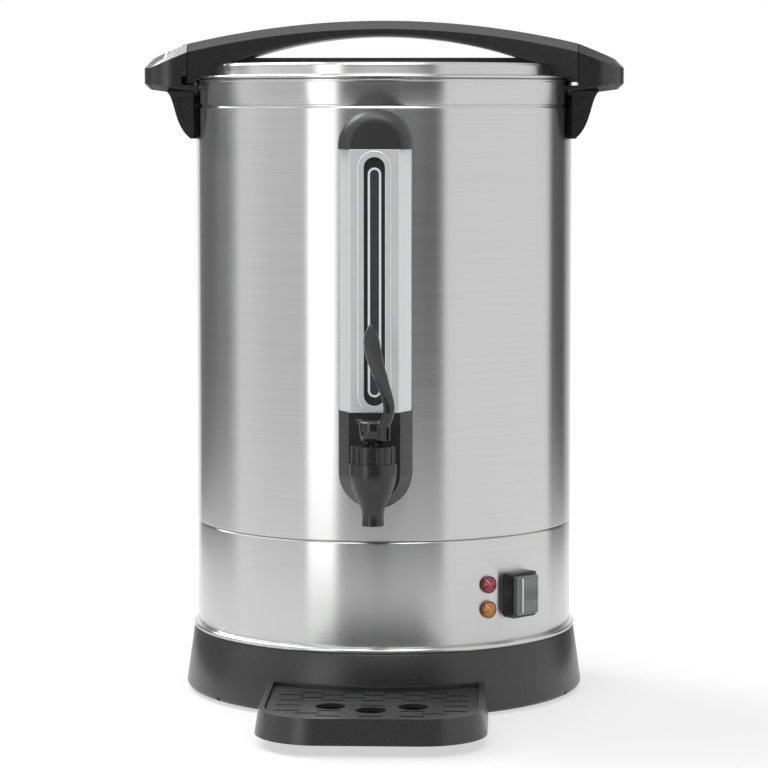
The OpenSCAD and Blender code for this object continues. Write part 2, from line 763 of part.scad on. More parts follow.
module seat_cup() color("#d9d3c4") translate([0, -tap_y, 0]) difference() {
    rotate_extrude() polygon([[0, z_seat + 0.3], [nozzle_bore + 1.2, z_seat + 0.3],
        [nozzle_bore + 2.6, z_seat + 5], [5.6, z_seat + 9], [5.6, z_seat + 12],
        [cavity_r - 0.8, z_seat + 17], [cavity_r - 0.8, z_seat + 18.5], [0, z_seat + 13]]);
    translate([0, 0, z_seat + 6 - running]) cylinder(r = stem_r + 1.5 + running, h = 2 + 2 * running);
    translate([0, 0, z_seat + 6]) cylinder(r = stem_r + running, h = 30);
}

// The lever's spoon: its middle line in the lever's plane, with half widths, thicknesses and hollows
spoon_line = [[4, 2], [13, 8], [17, 19], [12, 32], [4, 46], [-1.5, 60], [-2.7, 70], [-2.7, 76.5]];
spoon_wide = [4.2, 4.4, 4.6, 5.4, 6.8, 7.6, 6.2, 1.4];
spoon_thick = [4, 3.8, 3.4, 2.6, 2, 1.7, 1.6, 0.8];
spoon_scoop = [0, 0, 0, 1, 2, 2.2, 1.4, 0];
spoon_steps = 4;
spoon_sides = 16;

function spoon_ring(s) = let (
        c = along(spoon_line, s),
        d = along(spoon_line, min(s + 0.1, len(spoon_line) - 1)) - along(spoon_line, max(s - 0.1, 0)),
        w = d / norm(d),
        half = along(spoon_wide, s) * spoon_half / 7.6,
        thick = along(spoon_thick, s),
        scoop = along(spoon_scoop, s))
    [for (k = [0:spoon_sides - 1]) let (
            a = 360 * k / spoon_sides,
            n = thick * sin(a) + scoop * (pow(cos(a), 2) - 0.5))
        [c[0] + n * w[1], -half * cos(a), c[1] - n * w[0]]];

// The bowl of the lever's head as fractions of its radius and its height
head_line = [[0.5, 0], [0.68, 0.05], [0.81, 0.15], [0.91, 0.32], [0.97, 0.6], [1, 0.85], [0.95, 0.95],
    [0.84, 1]];
stem_way = (stem_r + moving) / cos(lever_swing);

module tap_lever() color("#2d2d2e") at_lever() difference() {
    union() {
        rotate_extrude() polygon(concat([[0, head_low]],
            [for (p = head_line) [p[0] * head_r, head_low + p[1] * (head_top - head_low)]],
            [[0, head_top]]));
        hull() {
            translate([-5, 0, head_top - 4]) cylinder(r = 5, h = 3.4, $fn = 32);
            translate([-16.8, 0, head_top - 2]) cylinder(r = 1.2, h = 2.2, $fn = 32);
        }
        loft([for (i = [0:(len(spoon_line) - 1) * spoon_steps]) spoon_ring(i / spoon_steps)]);
        translate([11, 0, -5]) difference() {
            translate([-2.5, -3, 0]) cube([7, 6, 14]);
            translate([-over, -0.9, -over]) cube([7, 1.8, 11]);
        }
    }
    translate([-eye_r - moving, -eye_half - moving, head_low - over])
        cube([2 * (eye_r + moving), 2 * (eye_half + moving), eye_r + 1.2 - head_low + over]);
    rotate([90, 0, 0]) linear_extrude(2 * (stem_r + moving), center = true) polygon([[0, 0],
        [0, head_low - over], [(over - head_low) * tan(lever_swing) + stem_way, head_low - over],
        [stem_way, 0]]);
    across_rod(pin_r + 0.02, head_r + over);
}

module lever_pin() color("#c8cacc") at_lever() across_rod(pin_r, 8.6);

module tap_seal() color("#b9b2a2") difference() {
    radial_rod(shank_r + 6, body_r + seat, body_r + seat + seal_disc_t, z_tap);
    radial_rod(shank_r + seat, body_r - over, body_r + seal_disc_t + over, z_tap);
}

module tap_nut() color("#b8babc") difference() {
    translate([0, -(body_r - sheet - 1.1 - nut_t), z_tap]) rotate([90, 0, 0])
        cylinder(r = shank_r + 5, h = nut_t, $fn = 6);
    radial_rod(shank_r + running, body_r - shank_in - over, body_r, z_tap);
}

// Lid and handles

// The lid's outer surface, grown by a clearance, as a solid that reaches down to z_lid
module lid_section(grow) {
    translate([0, z_lid]) square([lid_r - lid_edge / 2, lid_edge + grow]);
    translate([lid_r - lid_edge / 2, z_lid + lid_edge / 2]) circle(lid_edge / 2 + grow);
    polygon([[0, z_lid], [disc_r + grow, z_lid], [disc_r + grow, z_flange],
        [disc_r - disc_slope + grow, z_disc - disc_round],
        [disc_r - disc_slope - disc_round * 0.3 + grow, z_disc - disc_round * 0.3 + grow],
        [disc_r - disc_slope - disc_round, z_disc + grow], [0, z_disc + grow]]);
}

module lid() color("silver") difference() {
    rotate_extrude() difference() {
        union() {
            lid_section(0);
            translate([plug_r - sheet, z_lid - lid_plug]) square([sheet, lid_plug + sheet]);
        }
        polygon([[0, z_lid - over], [plug_r - sheet, z_lid - over], [plug_r - sheet, z_flange - sheet],
            [disc_r - sheet, z_flange - sheet], [disc_r - disc_slope - sheet, z_disc - disc_round],
            [disc_r - disc_slope - sheet - disc_round, z_disc - sheet], [0, z_disc - sheet]]);
    }
    for (x = [-1, 1] * lid_screw_at) translate([x, 0, z_disc - 2 * sheet])
        cylinder(r = lid_screw_r + seat, h = 3 * sheet);
}

function arch_line(x) = z_arch - arch_r + sqrt(arch_r * arch_r - x * x);
function arch_under(x) = z_arch - arch_t - arch_under_r + sqrt(arch_under_r * arch_under_r - x * x);
// The same line, drawn down beside the raised disc so that the arch stands on the lid's flange
function arch_low(x) = arch_under(x) - 0.8 * max(0, abs(x) - arch_foot);
function arch_wide(x) = arch_half + (grip_half - arch_half) * pow(x / seam_x, 2);

// Cross section of the arch: flat top, sloped shoulders, upright sides and eased lower edges
function arch_ring(x) = let (w = arch_wide(x), top = arch_line(x), low = arch_low(x), ease = 1.6)
    [[x, -w + edge_w, top], [x, -w, top - edge_h], [x, -w, low + ease], [x, -w + ease, low],
        [x, w - ease, low], [x, w, low + ease], [x, w, top - edge_h], [x, w - edge_w, top]];

arch_steps = 40;
arch_foot = disc_r - 16.5;
strip_end = 20;
strip_in = 3;
left_end = -(seam_x + tongue);
right_end = seam_x - grip_gap;

module lid_handle() color("#2b2b2c") difference() {
    union() {
        loft([for (i = [0:arch_steps]) arch_ring(left_end + (right_end - left_end) * i / arch_steps)]);
        intersection() {
            translate([-disc_r + strip_end, -arch_half + strip_in, z_disc])
                cube([2 * (disc_r - strip_end), 2 * (arch_half - strip_in), strip_h]);
            translate([0, 0, z_disc]) cylinder(r = disc_r - 12, h = strip_h);
        }
    }
    rotate_extrude() lid_section(0.2);
    translate([0, 0, z_shelf - grip_half])
        cylinder(r = lid_r + 0.2, h = z_lid + lid_edge / 2 - z_shelf + grip_half);
    for (s = [-1, 1]) translate([s * (lid_r + 15) - grip_half, -2 * grip_half, z_shelf - grip_half])
        cube([2 * grip_half, 4 * grip_half, grip_half + (s < 0 ? 0.4 : 2.75)]);
    translate([-lid_r - 15 - grip_half, -2 * grip_half, z_shelf - grip_half])
        cube([2 * grip_half, grip_half + lip_t, grip_half + 1.6]);
    translate([left_end - over, -2 * grip_half, z_shelf - over])
        cube([tongue + grip_gap + over, grip_half + lip_t + grip_gap, 2 * arch_h]);
    for (x = [-1, 1] * lid_screw_at) translate([x, 0, z_disc - over])
        cylinder(r = lid_screw_r + running, h = over + lid_screw_l + 0.5);
}

module lid_screws() color("#b8babc") for (x = [-1, 1] * lid_screw_at) translate([x, 0, z_disc - sheet]) {
    translate([0, 0, -lid_screw_head_h])
        cylinder(r = lid_screw_r, h = lid_screw_head_h + sheet + lid_screw_l);
    translate([0, 0, -lid_screw_head_h]) cylinder(r = lid_screw_head, h = lid_screw_head_h);
}

// Plan of a side handle on the right, anticlockwise, drawn in by an inset
function grip_plan(inset) = concat(
    [[body_r - 8, -grip_half + inset]],
    [for (a = [-90:10:0]) [grip_x - grip_round + (grip_round - inset) * cos(a),
        -grip_half + grip_round + (grip_round - inset) * sin(a)]],
    [for (a = [0:10:90]) [grip_x - grip_round + (grip_round - inset) * cos(a),
        grip_half - grip_round + (grip_round - inset) * sin(a)]],
    [[body_r - 8, grip_half - inset]]);

function grip_top(x) = arch_line(seam_x) - (x - seam_x) * grip_slope;
function grip_low(x) = z_grip_low + (x - body_r) * grip_low_slope;
function grip_upper(inset, drop) = [for (p = grip_plan(inset))
    [p[0], p[1], grip_top(min(p[0], grip_x - edge_w)) - drop]];
function grip_lower(inset, rise) = [for (p = grip_plan(inset))
    [p[0], p[1], grip_low(min(p[0], grip_x - low_edge)) + rise]];

// Curved underside of the bracket, as offsets from the tank's rim
bracket_curve = [[20, -9], [13, -15], [15, -35], [2, -bracket_drop]];
bracket_steps = 10;

// Side view of the bracket, from an inner radius outward
module bracket_side(from_r) polygon(concat(
    [[from_r, z_rim - bracket_drop], [from_r, z_rim - 9]],
    [for (i = [0:bracket_steps]) [body_r, z_rim] + bezier(bracket_curve, i / bracket_steps)]));

// Extrudes a side view to both sides of the middle
module both_ways(half) rotate([90, 0, 0]) linear_extrude(2 * half, center = true) children();

module side_handle() difference() {
    union() {
        loft([grip_lower(low_edge, 0), grip_lower(0, low_edge),
            grip_upper(0, edge_h), grip_upper(edge_w, 0)]);
        both_ways(bracket_core) bracket_side(body_r - 8);
        both_ways(bracket_half) bracket_side(body_r - 0.5);
        intersection() {
            translate([0, 0, z_rim - bracket_drop]) cylinder(r = body_r + flange_t, h = bracket_drop - 9);
            translate([0, -flange_half, 0]) cube([2 * body_r, 2 * flange_half, 2 * z_rim]);
        }
    }
    translate([0, 0, z_seam]) cylinder(r = body_r + seat, h = 2 * tank_h);
    translate([body_r - 20, -2 * grip_half, z_shelf]) cube([20 + grip_seam, 4 * grip_half, 90]);
    for (s = [-1, 1]) translate([0, s * bracket_half, 0]) both_ways(panel_d)
        offset(r = panel_round) offset(delta = -panel_in - panel_round) bracket_side(body_r - 0.5);
    for (y = [-1, 1] * handle_screw_y) translate([body_r - 10, y, z_handle_screw])
        rotate([0, 90, 0]) cylinder(r = handle_screw_r + running, h = 19.5);
}

module side_handle_right() color("#2b2b2c") side_handle();

module side_handle_left() color("#2b2b2c") mirror([1, 0, 0]) difference() {
    side_handle();
    translate([seam_x - over, -grip_half + lip_t, z_shelf])
        cube([over + tongue + grip_gap, 3 * grip_half, 3 * arch_h]);
    translate([seam_x - over, -2 * grip_half, z_shelf])
        cube([over + tongue + grip_gap, 3 * grip_half, z_lip - z_shelf]);
}

module handle_screws() color("#b8babc") for (a = [90, 270], x = [-1, 1] * handle_screw_y) at_azimuth(a) {
    radial_rod(handle_screw_r, body_r - sheet - 3.5, body_r + 9, z_handle_screw, x);
    radial_rod(handle_screw_head, body_r - sheet - 3.5, body_r - sheet - 1, z_handle_screw, x);
}

// Control panel

// Box on the switch's axis between two distances, with round corners where a radius is given
module panel_box(w, h, from, to, r = 0) at_azimuth(switch_azimuth) translate([0, -from, z_panel])
    rotate([90, 0, 0]) linear_extrude(to - from)
        if (r > 0) rounded_box2(w, h, r); else square([w, h], center = true);

module switch_frame() color("#262627") difference() {
    union() {
        difference() {
            panel_box(switch_w, switch_h, body_r - 6, body_r + switch_out, 3);
            cylinder(r = body_r + seat, h = z_rim);
        }
        panel_box(switch_w - 3.4, switch_h - 3.8, body_r - switch_body_d, body_r + switch_out - 1);
        for (s = [-1, 1]) at_azimuth(switch_azimuth)
            radial_rod(1.4, body_r - switch_body_d - 7, body_r - switch_body_d + over, z_panel + 8 * s);
    }
    panel_box(2 * (rocker_half_w + moving), 2 * (rocker_half_h + 1.6),
        rocker_axis - 5, body_r + switch_out + over);
    at_azimuth(switch_azimuth) translate([0, -rocker_axis, z_panel]) rotate([0, 90, 0])
        cylinder(r = rocker_pin_r + running, h = 2 * rocker_half_w + 3, center = true);
}

module switch_rocker() color("#3a3a3b") at_azimuth(switch_azimuth) translate([0, -rocker_axis, z_panel]) {
    rotate([rocker_tilt, 0, 0]) rotate([90, 0, 90]) linear_extrude(2 * rocker_half_w, center = true)
        polygon([[-5, -rocker_half_h], [-3.6, 0], [-5, rocker_half_h], [-1, rocker_half_h], [2, 7], [2, -7],
            [-1, -rocker_half_h]]);
    rotate([0, 90, 0]) cylinder(r = rocker_pin_r, h = 2 * rocker_half_w + 2, center = true);
}

module switch_cover() color("#dfe3e4", 0.4) difference() {
    panel_box(switch_w - 4.5, switch_h - 5, body_r + switch_out, body_r + switch_out + 4.4, 1.6);
    panel_box(switch_w - 6.7, switch_h - 7.2, body_r + switch_out - over, body_r + switch_out + 3.4, 0.8);
}

module lamp(z) at_azimuth(lamp_azimuth) translate([0, -body_r, z]) rotate([90, 0, 0]) rotate_extrude()
    polygon(concat(
        [[0, -16], [lamp_body_r, -16], [lamp_body_r, seat], [lamp_r, seat]],
        [for (a = [0:15:90]) [lamp_r * cos(a), 1.6 + 2.2 * sin(a)]]));

module lamp_red() color("#9c1f2c") lamp(z_panel + lamp_pitch / 2);

module lamp_amber() color("#c47a1c") lamp(z_panel - lamp_pitch / 2);

module lamp_nuts() color("#d8d4c8") for (s = [-1, 1]) at_azimuth(lamp_azimuth)
    translate([0, -(body_r - sheet - 0.4 - lamp_nut_t), z_panel + s * lamp_pitch / 2]) rotate([90, 0, 0])
        difference() {
            cylinder(r = lamp_body_r + 3, h = lamp_nut_t, $fn = 6);
            translate([0, 0, -over]) cylinder(r = lamp_body_r + running, h = lamp_nut_t + 2 * over);
        }

// Drip tray

// Plan of the tray, drawn in by an inset, with its back hollowed to the base
function tray_outline(inset) = let (
        r = tray_round - inset, half = tray_w / 2 - inset, y = tray_round - tray_y)
    concat([[-half, 0]], [for (a = [180:7.5:270]) [r - half + r * cos(a), y + r * sin(a)]],
        [for (a = [270:7.5:360]) [half - r + r * cos(a), y + r * sin(a)]], [[half, 0]]);

function tray_ring(inset, z) = [for (p = tray_outline(inset)) [p[0], p[1], z]];

module tray_plan(inset, back_r) difference() {
    polygon(tray_outline(inset));
    circle(back_r);
}

module drip_tray() color("#2f2f30") {
    back = base_bot_r + tray_gap;
    z_grid = tray_top - grid_drop - grid_t;
    difference() {
        loft([tray_ring(-tray_flare, tray_low), tray_ring(0, tray_top)]);
        translate([0, 0, tray_low - over]) cylinder(r = back, h = tray_top);
        translate([0, 0, z_grid]) linear_extrude(2 * tray_top) tray_plan(tray_wall, back + tray_wall);
        translate([0, 0, tray_low + tray_floor]) linear_extrude(2 * tray_top)
            tray_plan(tray_wall + tray_ledge, back + tray_wall + tray_ledge);
    }
    for (x = [-1, 1] * hook_x) translate([x - hook_w / 2, 0, hook_z]) difference() {
        translate([0, -sqrt(pow(back + tray_wall / 2, 2) - pow(hook_x - hook_w / 2, 2)), 0])
            cube([hook_w, hook_reach + tray_wall, hook_h]);
        translate([hook_w / 2 - x, 0, -over]) cylinder(r = body_r - 12, h = hook_h + 2 * over);
    }
}

// Centres of the grid's slots: staggered rows that keep clear of the finger holes and the edge
slot_len = 18;
slot_t = 3.2;
row_pitch = 9.6;
col_pitch = 30;
slot_spots = [for (row = [0:12], col = [-3:3]) let (
        x = (col + (row % 2) / 2) * col_pitch,
        y = -(tray_y - 24.5) + row * row_pitch,
        reach = tray_w / 2 - tray_wall - slot_len / 2 - 5,
        corner = norm([max(abs(x) + slot_len / 2 - tray_w / 2 + tray_round, 0),
            max(-y - tray_y + tray_round, 0)]),
        finger = min([for (p = finger_spots) norm([max(abs(x - p[0]) - slot_len / 2, 0), y - p[1]])]))
    if (abs(x) < reach && corner < tray_round - tray_wall - 6 && finger > finger_d / 2 + 3.5
        && norm([max(abs(x) - slot_len / 2, 0), y]) > base_bot_r + tray_gap + tray_wall + 6) [x, y]];

module drip_grid() color("#2f2f30") translate([0, 0, tray_top - grid_drop - grid_t + seat])
    linear_extrude(grid_t) difference() {
        tray_plan(tray_wall + moving, base_bot_r + tray_gap + tray_wall + moving);
        for (p = finger_spots) translate(p) circle(finger_d / 2);
        for (p = slot_spots) translate(p) rotate(90) slot2(slot_t, -slot_len / 2, slot_len / 2);
    }

// Percolator

perc_gap = 0.3;
perc_wall = 1;
perc_foot_r = 31;
perc_foot_h = 7;
perc_cone_h = 5;
perc_spout_h = 12;
perc_collar = 3;
z_perc = z_floor_top + perc_gap;
z_basket = z_floor_top + basket_up;
collar_h = 3;

module percolator_tube() color("#c9cccf") translate([0, 0, z_perc]) rotate_extrude() polygon([
    [perc_r - perc_wall, perc_foot_h - perc_wall], [perc_foot_r - perc_wall, perc_foot_h - perc_wall],
    [perc_foot_r - perc_wall, 0], [perc_foot_r, 0], [perc_foot_r, perc_foot_h],
    [perc_r, perc_foot_h + perc_cone_h], [perc_r, basket_up - collar_h - perc_gap],
    [perc_r + perc_collar, basket_up - collar_h - perc_gap], [perc_r + perc_collar, basket_up - perc_gap],
    [perc_r, basket_up - perc_gap], [perc_r, basket_up + basket_h + perc_spout_h],
    [perc_r - perc_wall, basket_up + basket_h + perc_spout_h]]);

module ring_holes(r, count, hole, h) for (i = [0:count - 1]) rotate(i * 360 / count) translate([r, 0, -over])
    cylinder(r = hole, h = h, $fn = 16);

module coffee_basket() color("#c9cccf") translate([0, 0, z_basket]) difference() {
    rotate_extrude() polygon([[perc_r + 0.2, 0], [basket_r, 0], [basket_r, basket_h],
        [basket_r - sheet, basket_h], [basket_r - sheet, sheet], [perc_r + 0.2 + sheet, sheet],
        [perc_r + 0.2 + sheet, 20], [perc_r + 0.2, 20]]);
    for (k = [1:3]) ring_holes(perc_r + 4 + k * (basket_r - perc_r - 10) / 3.4, 8 * k, 1.5, 4);
}

module basket_spreader() color("#c9cccf") translate([0, 0, z_basket + basket_h]) difference() {
    rotate_extrude() polygon([[perc_r + 0.2, 0], [basket_r, 0], [basket_r, 6], [basket_r - sheet, 6],
        [basket_r - sheet, sheet], [perc_r + 0.2, sheet]]);
    for (k = [1:2]) ring_holes(perc_r + 4 + k * (basket_r - perc_r - 10) / 2.4, 8 * k, 2, 4);
}

tank();
skirt();
base();
base_plate();
foot_ring();
base_screws();
heat_plate();
heating_element();
plate_nuts();
control_thermostat();
boil_dry_cutout();
terminal_block();
wiring();
cord_gland();
gauge_bezel();
gauge_scale();
sight_tube();
tube_seals();
gauge_tee();
gauge_cap();
cap_screw();
tap_housing();
tap_body();
tap_shank();
tap_bonnet();
tap_stem();
seat_cup();
tap_lever();
lever_pin();
tap_seal();
tap_nut();
lid();
lid_handle();
lid_screws();
side_handle_left();
side_handle_right();
handle_screws();
switch_frame();
switch_rocker();
switch_cover();
lamp_red();
lamp_amber();
lamp_nuts();
drip_tray();
drip_grid();
percolator_tube();
coffee_basket();
basket_spreader();
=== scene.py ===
# %% [markdown]
# # A coffee urn
# The urn is a brushed steel tank on a black foot, with a sight gauge, a lever tap, a lift-off lid and a
# drip tray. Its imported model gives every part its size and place. This lesson dresses that model: shells
# are spun, mouldings are copied and softened, and each part gets the finish that its real material has.

# %% Load the frame
import math

import bpy
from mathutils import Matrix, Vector


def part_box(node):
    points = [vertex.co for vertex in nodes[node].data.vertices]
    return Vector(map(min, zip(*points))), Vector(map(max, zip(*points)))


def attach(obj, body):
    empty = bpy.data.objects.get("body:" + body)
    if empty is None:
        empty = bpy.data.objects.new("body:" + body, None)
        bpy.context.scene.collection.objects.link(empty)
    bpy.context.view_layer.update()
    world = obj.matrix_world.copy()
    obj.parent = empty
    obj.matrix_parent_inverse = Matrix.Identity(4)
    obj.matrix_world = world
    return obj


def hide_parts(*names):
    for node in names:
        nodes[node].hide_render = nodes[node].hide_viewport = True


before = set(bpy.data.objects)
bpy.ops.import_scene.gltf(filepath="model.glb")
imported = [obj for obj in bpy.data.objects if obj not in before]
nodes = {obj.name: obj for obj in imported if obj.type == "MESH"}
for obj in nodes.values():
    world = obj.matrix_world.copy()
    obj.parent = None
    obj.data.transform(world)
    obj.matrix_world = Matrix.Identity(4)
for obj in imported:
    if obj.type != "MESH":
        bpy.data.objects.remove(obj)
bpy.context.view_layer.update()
MM = 0.001
print("nodes in the frame:", len(nodes))

# %% [markdown]
# ## The camera
# The urn was photographed from its front with a long lens, a little above its middle and a few degrees to
# the right. A long lens far away keeps the upright edges parallel, so the distance matters as much as the
# angle. The camera only looks at a point on the urn's axis, and no shift is needed.

# %% Camera
CAMERA_PLACE = (0.0955, -2.377, 0.452)
CAMERA_AIM = (0, 0, 0.236)
CAMERA_LENS = 143.6

bpy.ops.object.camera_add(location=CAMERA_PLACE)
camera = bpy.context.object
sight_line = Vector(CAMERA_AIM) - camera.location
camera.rotation_euler = sight_line.to_track_quat("-Z", "Y").to_euler()
camera.data.lens = CAMERA_LENS
bpy.context.scene.camera = camera
print("camera looks down by", round(math.degrees(math.asin(-sight_line.normalized().z)), 1), "degrees")

# %% [markdown]
# ## The studio
# Polished and brushed metal shows little but its surroundings, so the studio is built first. Soft boxes
# stand left and right of the urn, a narrow bright strip stands left of the camera, and dark cloths hang
# between them. They could be area lights and black cards. Here they are painted round the horizon of the
# world, because a painted world costs no time and reflects without edges that need hiding.
# One long soft box hangs over the urn's left shoulder and lights the slopes of the handle on that side,
# and a round lamp high in front lights the faces that look at the camera.

# %% Node helper and colours
def linear(hex_colour):
    """Turns an sRGB hex colour into the linear colour that a socket takes."""
    channels = [int(hex_colour[i:i + 2], 16) / 255 for i in (1, 3, 5)]
    return (*[c / 12.92 if c <= 0.04045 else ((c + 0.055) / 1.055) ** 2.4 for c in channels], 1)


def add_node(tree, kind, settings, inputs):
    """Adds a node, sets its settings, and links or sets each of its inputs."""
    made = tree.nodes.new(kind)
    for name, value in settings.items():
        setattr(made, name, value)
    for name, value in inputs.items():
        if isinstance(value, bpy.types.NodeSocket):
            tree.links.new(value, made.inputs[name])
        else:
            made.inputs[name].default_value = value
    return made


# %% Painted horizon
# Brightness of the surroundings by degrees round the urn, from the camera's side toward the right
SURROUNDINGS = [
    (-180, 1.1), (-157, 0.9), (-151, 0.2), (-111, 0.16), (-104.5, 0.34), (-96, 0.86), (-70, 0.7),
    (-46, 0.66), (-43.5, 2.3), (-29, 2.3), (-25, 0.36), (-20, 0.09), (0, 0.05), (32, 0.07), (36.7, 0.16),
    (41, 0.95), (121, 0.95), (128, 0.16), (146, 0.1), (156, 0.5), (180, 1.1),
]
CEILING = 0.85
# The ceiling fades in between these heights, given as sines of the angle above the horizon
CEILING_EDGE = (0.35, 0.8)

scene = bpy.context.scene
studio = bpy.data.worlds.new("studio")
scene.world = studio
studio.use_nodes = True
tree = studio.node_tree
tree.nodes.clear()
way = add_node(tree, "ShaderNodeTexCoord", {}, {}).outputs["Generated"]
parts = add_node(tree, "ShaderNodeSeparateXYZ", {}, {0: way})
toward = add_node(tree, "ShaderNodeMath", {"operation": "MULTIPLY"}, {0: parts.outputs["Y"], 1: -1.0})
turn = add_node(tree, "ShaderNodeMath", {"operation": "ARCTAN2"}, {
    0: parts.outputs["X"], 1: toward.outputs[0]})
share = add_node(tree, "ShaderNodeMapRange", {}, {
    "Value": turn.outputs[0], "From Min": -math.pi, "From Max": math.pi})
horizon = add_node(tree, "ShaderNodeValToRGB", {}, {"Fac": share.outputs[0]})
stops = horizon.color_ramp.elements
while len(stops) < len(SURROUNDINGS):
    stops.new(1)
for stop, (angle, level) in zip(stops, SURROUNDINGS):
    stop.position = angle / 360 + 0.5
    stop.color = (level, level, level, 1)
height = add_node(tree, "ShaderNodeMapRange", {"interpolation_type": "SMOOTHSTEP"}, {
    "Value": parts.outputs["Z"], "From Min": CEILING_EDGE[0], "From Max": CEILING_EDGE[1]})
sky = add_node(tree, "ShaderNodeMix", {"data_type": "RGBA"}, {
    "Factor": height.outputs[0], 6: horizon.outputs["Color"], 7: (CEILING, CEILING, CEILING, 1)})
print("horizon painted with", len(SURROUNDINGS), "stops")

# %% Soft box and front lamp
# The soft box is a long strip overhead: the ways to its two ends, and its edges as cosines and sines
SOFT_BOX_ENDS = (Vector((-0.44, 0.13, 0.89)), Vector((-0.59, 0.63, 0.51)))
SOFT_BOX_LONG = (0.91, 0.93)
SOFT_BOX_WIDE = (0.19, 0.12)
SOFT_BOX = 12
# The front lamp is round: the way to its middle, and its soft edge as cosines
FRONT_LAMP_WAY = Vector((0.0, -0.38, 0.925))
FRONT_LAMP_EDGE = (0.92, 0.95)
FRONT_LAMP = 4.6

box_mid = (SOFT_BOX_ENDS[0] + SOFT_BOX_ENDS[1]).normalized()
box_side = SOFT_BOX_ENDS[0].cross(SOFT_BOX_ENDS[1]).normalized()
facing = add_node(tree, "ShaderNodeVectorMath", {"operation": "DOT_PRODUCT"}, {0: way, 1: box_mid})
beside = add_node(tree, "ShaderNodeVectorMath", {"operation": "DOT_PRODUCT"}, {0: way, 1: box_side})
aside = add_node(tree, "ShaderNodeMath", {"operation": "ABSOLUTE"}, {0: beside.outputs["Value"]})
in_length = add_node(tree, "ShaderNodeMapRange", {"interpolation_type": "SMOOTHSTEP"}, {
    "Value": facing.outputs["Value"], "From Min": SOFT_BOX_LONG[0], "From Max": SOFT_BOX_LONG[1]})
in_width = add_node(tree, "ShaderNodeMapRange", {"interpolation_type": "LINEAR"}, {
    "Value": aside.outputs[0], "From Min": SOFT_BOX_WIDE[0], "From Max": SOFT_BOX_WIDE[1]})
inside = add_node(tree, "ShaderNodeMath", {"operation": "MULTIPLY"}, {
    0: in_length.outputs[0], 1: in_width.outputs[0]})
boxed = add_node(tree, "ShaderNodeMix", {"data_type": "RGBA"}, {
    "Factor": inside.outputs[0], 6: sky.outputs[2], 7: (SOFT_BOX, SOFT_BOX, SOFT_BOX, 1)})
ahead = add_node(tree, "ShaderNodeVectorMath", {"operation": "DOT_PRODUCT"}, {
    0: way, 1: FRONT_LAMP_WAY.normalized()})
in_lamp = add_node(tree, "ShaderNodeMapRange", {"interpolation_type": "SMOOTHSTEP"}, {
    "Value": ahead.outputs["Value"], "From Min": FRONT_LAMP_EDGE[0], "From Max": FRONT_LAMP_EDGE[1]})
lamped = add_node(tree, "ShaderNodeMix", {"data_type": "RGBA"}, {
    "Factor": in_lamp.outputs[0], 6: boxed.outputs[2], 7: (FRONT_LAMP, FRONT_LAMP, FRONT_LAMP, 1)})
print("soft box of", SOFT_BOX, "and front lamp of", FRONT_LAMP)

# %% World
lit = add_node(tree, "ShaderNodeBackground", {}, {"Color": lamped.outputs[2], "Strength": 1.0})
backdrop = add_node(tree, "ShaderNodeBackground", {}, {"Color": (1, 1, 1, 1), "Strength": 1.0})
path = add_node(tree, "ShaderNodeLightPath", {}, {})
seen = add_node(tree, "ShaderNodeMixShader", {}, {
    0: path.outputs["Is Camera Ray"], 1: lit.outputs[0], 2: backdrop.outputs[0]})
add_node(tree, "ShaderNodeOutputWorld", {}, {"Surface": seen.outputs[0]})
scene.view_settings.view_transform = "Standard"
print("studio world with", len(tree.nodes), "nodes and a plain white backdrop")

# %% [markdown]
# The floor is a pale sheet of studio paper. It glows a little by itself, as lit paper does, so that it
# stays white right up to the urn and lightens the urn's lower half from below.

# %% Paper floor
FLOOR_R = 0.9
FLOOR_SIDES = 128
PAPER_GLOW = 0.6


def new_finish(name, sockets):
    """Starts a material: its shader's plain values are set straight on the shader."""
    finish = bpy.data.materials.new(name)
    finish.use_nodes = True
    shader = finish.node_tree.nodes["Principled BSDF"]
    for socket, value in sockets.items():
        shader.inputs[socket].default_value = value
    return finish, finish.node_tree, shader


paper = new_finish("studio_paper", {
    "Base Color": linear("#808080"), "Roughness": 0.9, "Emission Color": (1, 1, 1, 1),
    "Emission Strength": PAPER_GLOW,
})[0]
bpy.ops.object.select_all(action="DESELECT")
bpy.ops.mesh.primitive_circle_add(vertices=FLOOR_SIDES, radius=FLOOR_R, fill_type="NGON")
floor = bpy.context.object
floor.name = "studio_floor"
floor.data.materials.append(paper)
print("floor with a radius of", FLOOR_R, "metres")

# %% [markdown]
# ## Brushed stainless steel
# The sheet is rolled, brushed along its length and bent into a drum, so fine scratches run round the urn.
# Scratches spread a reflection across themselves and not along themselves. That is why the bands on the
# urn are long and soft upward but have crisp edges. Anisotropy does this, with its tangent turned upright.
# Real scratches are about 0.05 mm wide, too fine to show, so they are drawn about 1 mm apart.

# %% Brushed steel
SCRATCH_PITCH = 1.1
SCRATCH_LENGTH = 140
# A noise seldom leaves this span, so its variation is stretched from it
NOISE_SPAN = (0.3, 0.7)


def vary(tree, shader, noise, colours, rough, relief):
    """Lets a noise vary colour and roughness. Relief is a strength and a depth in millimetres."""
    tint = add_node(tree, "ShaderNodeMix", {"data_type": "RGBA"}, {
        "Factor": noise, 6: linear(colours[0]), 7: linear(colours[1])})
    gloss = add_node(tree, "ShaderNodeMapRange", {}, {
        "Value": noise, "From Min": NOISE_SPAN[0], "From Max": NOISE_SPAN[1], "To Min": rough[0],
        "To Max": rough[1]})
    bump = add_node(tree, "ShaderNodeBump", {}, {
        "Strength": relief[0], "Distance": relief[1] * MM, "Height": noise})
    for socket, source in (("Base Color", tint.outputs[2]), ("Roughness", gloss.outputs[0]),
                           ("Normal", bump.outputs[0])):
        tree.links.new(source, shader.inputs[socket])


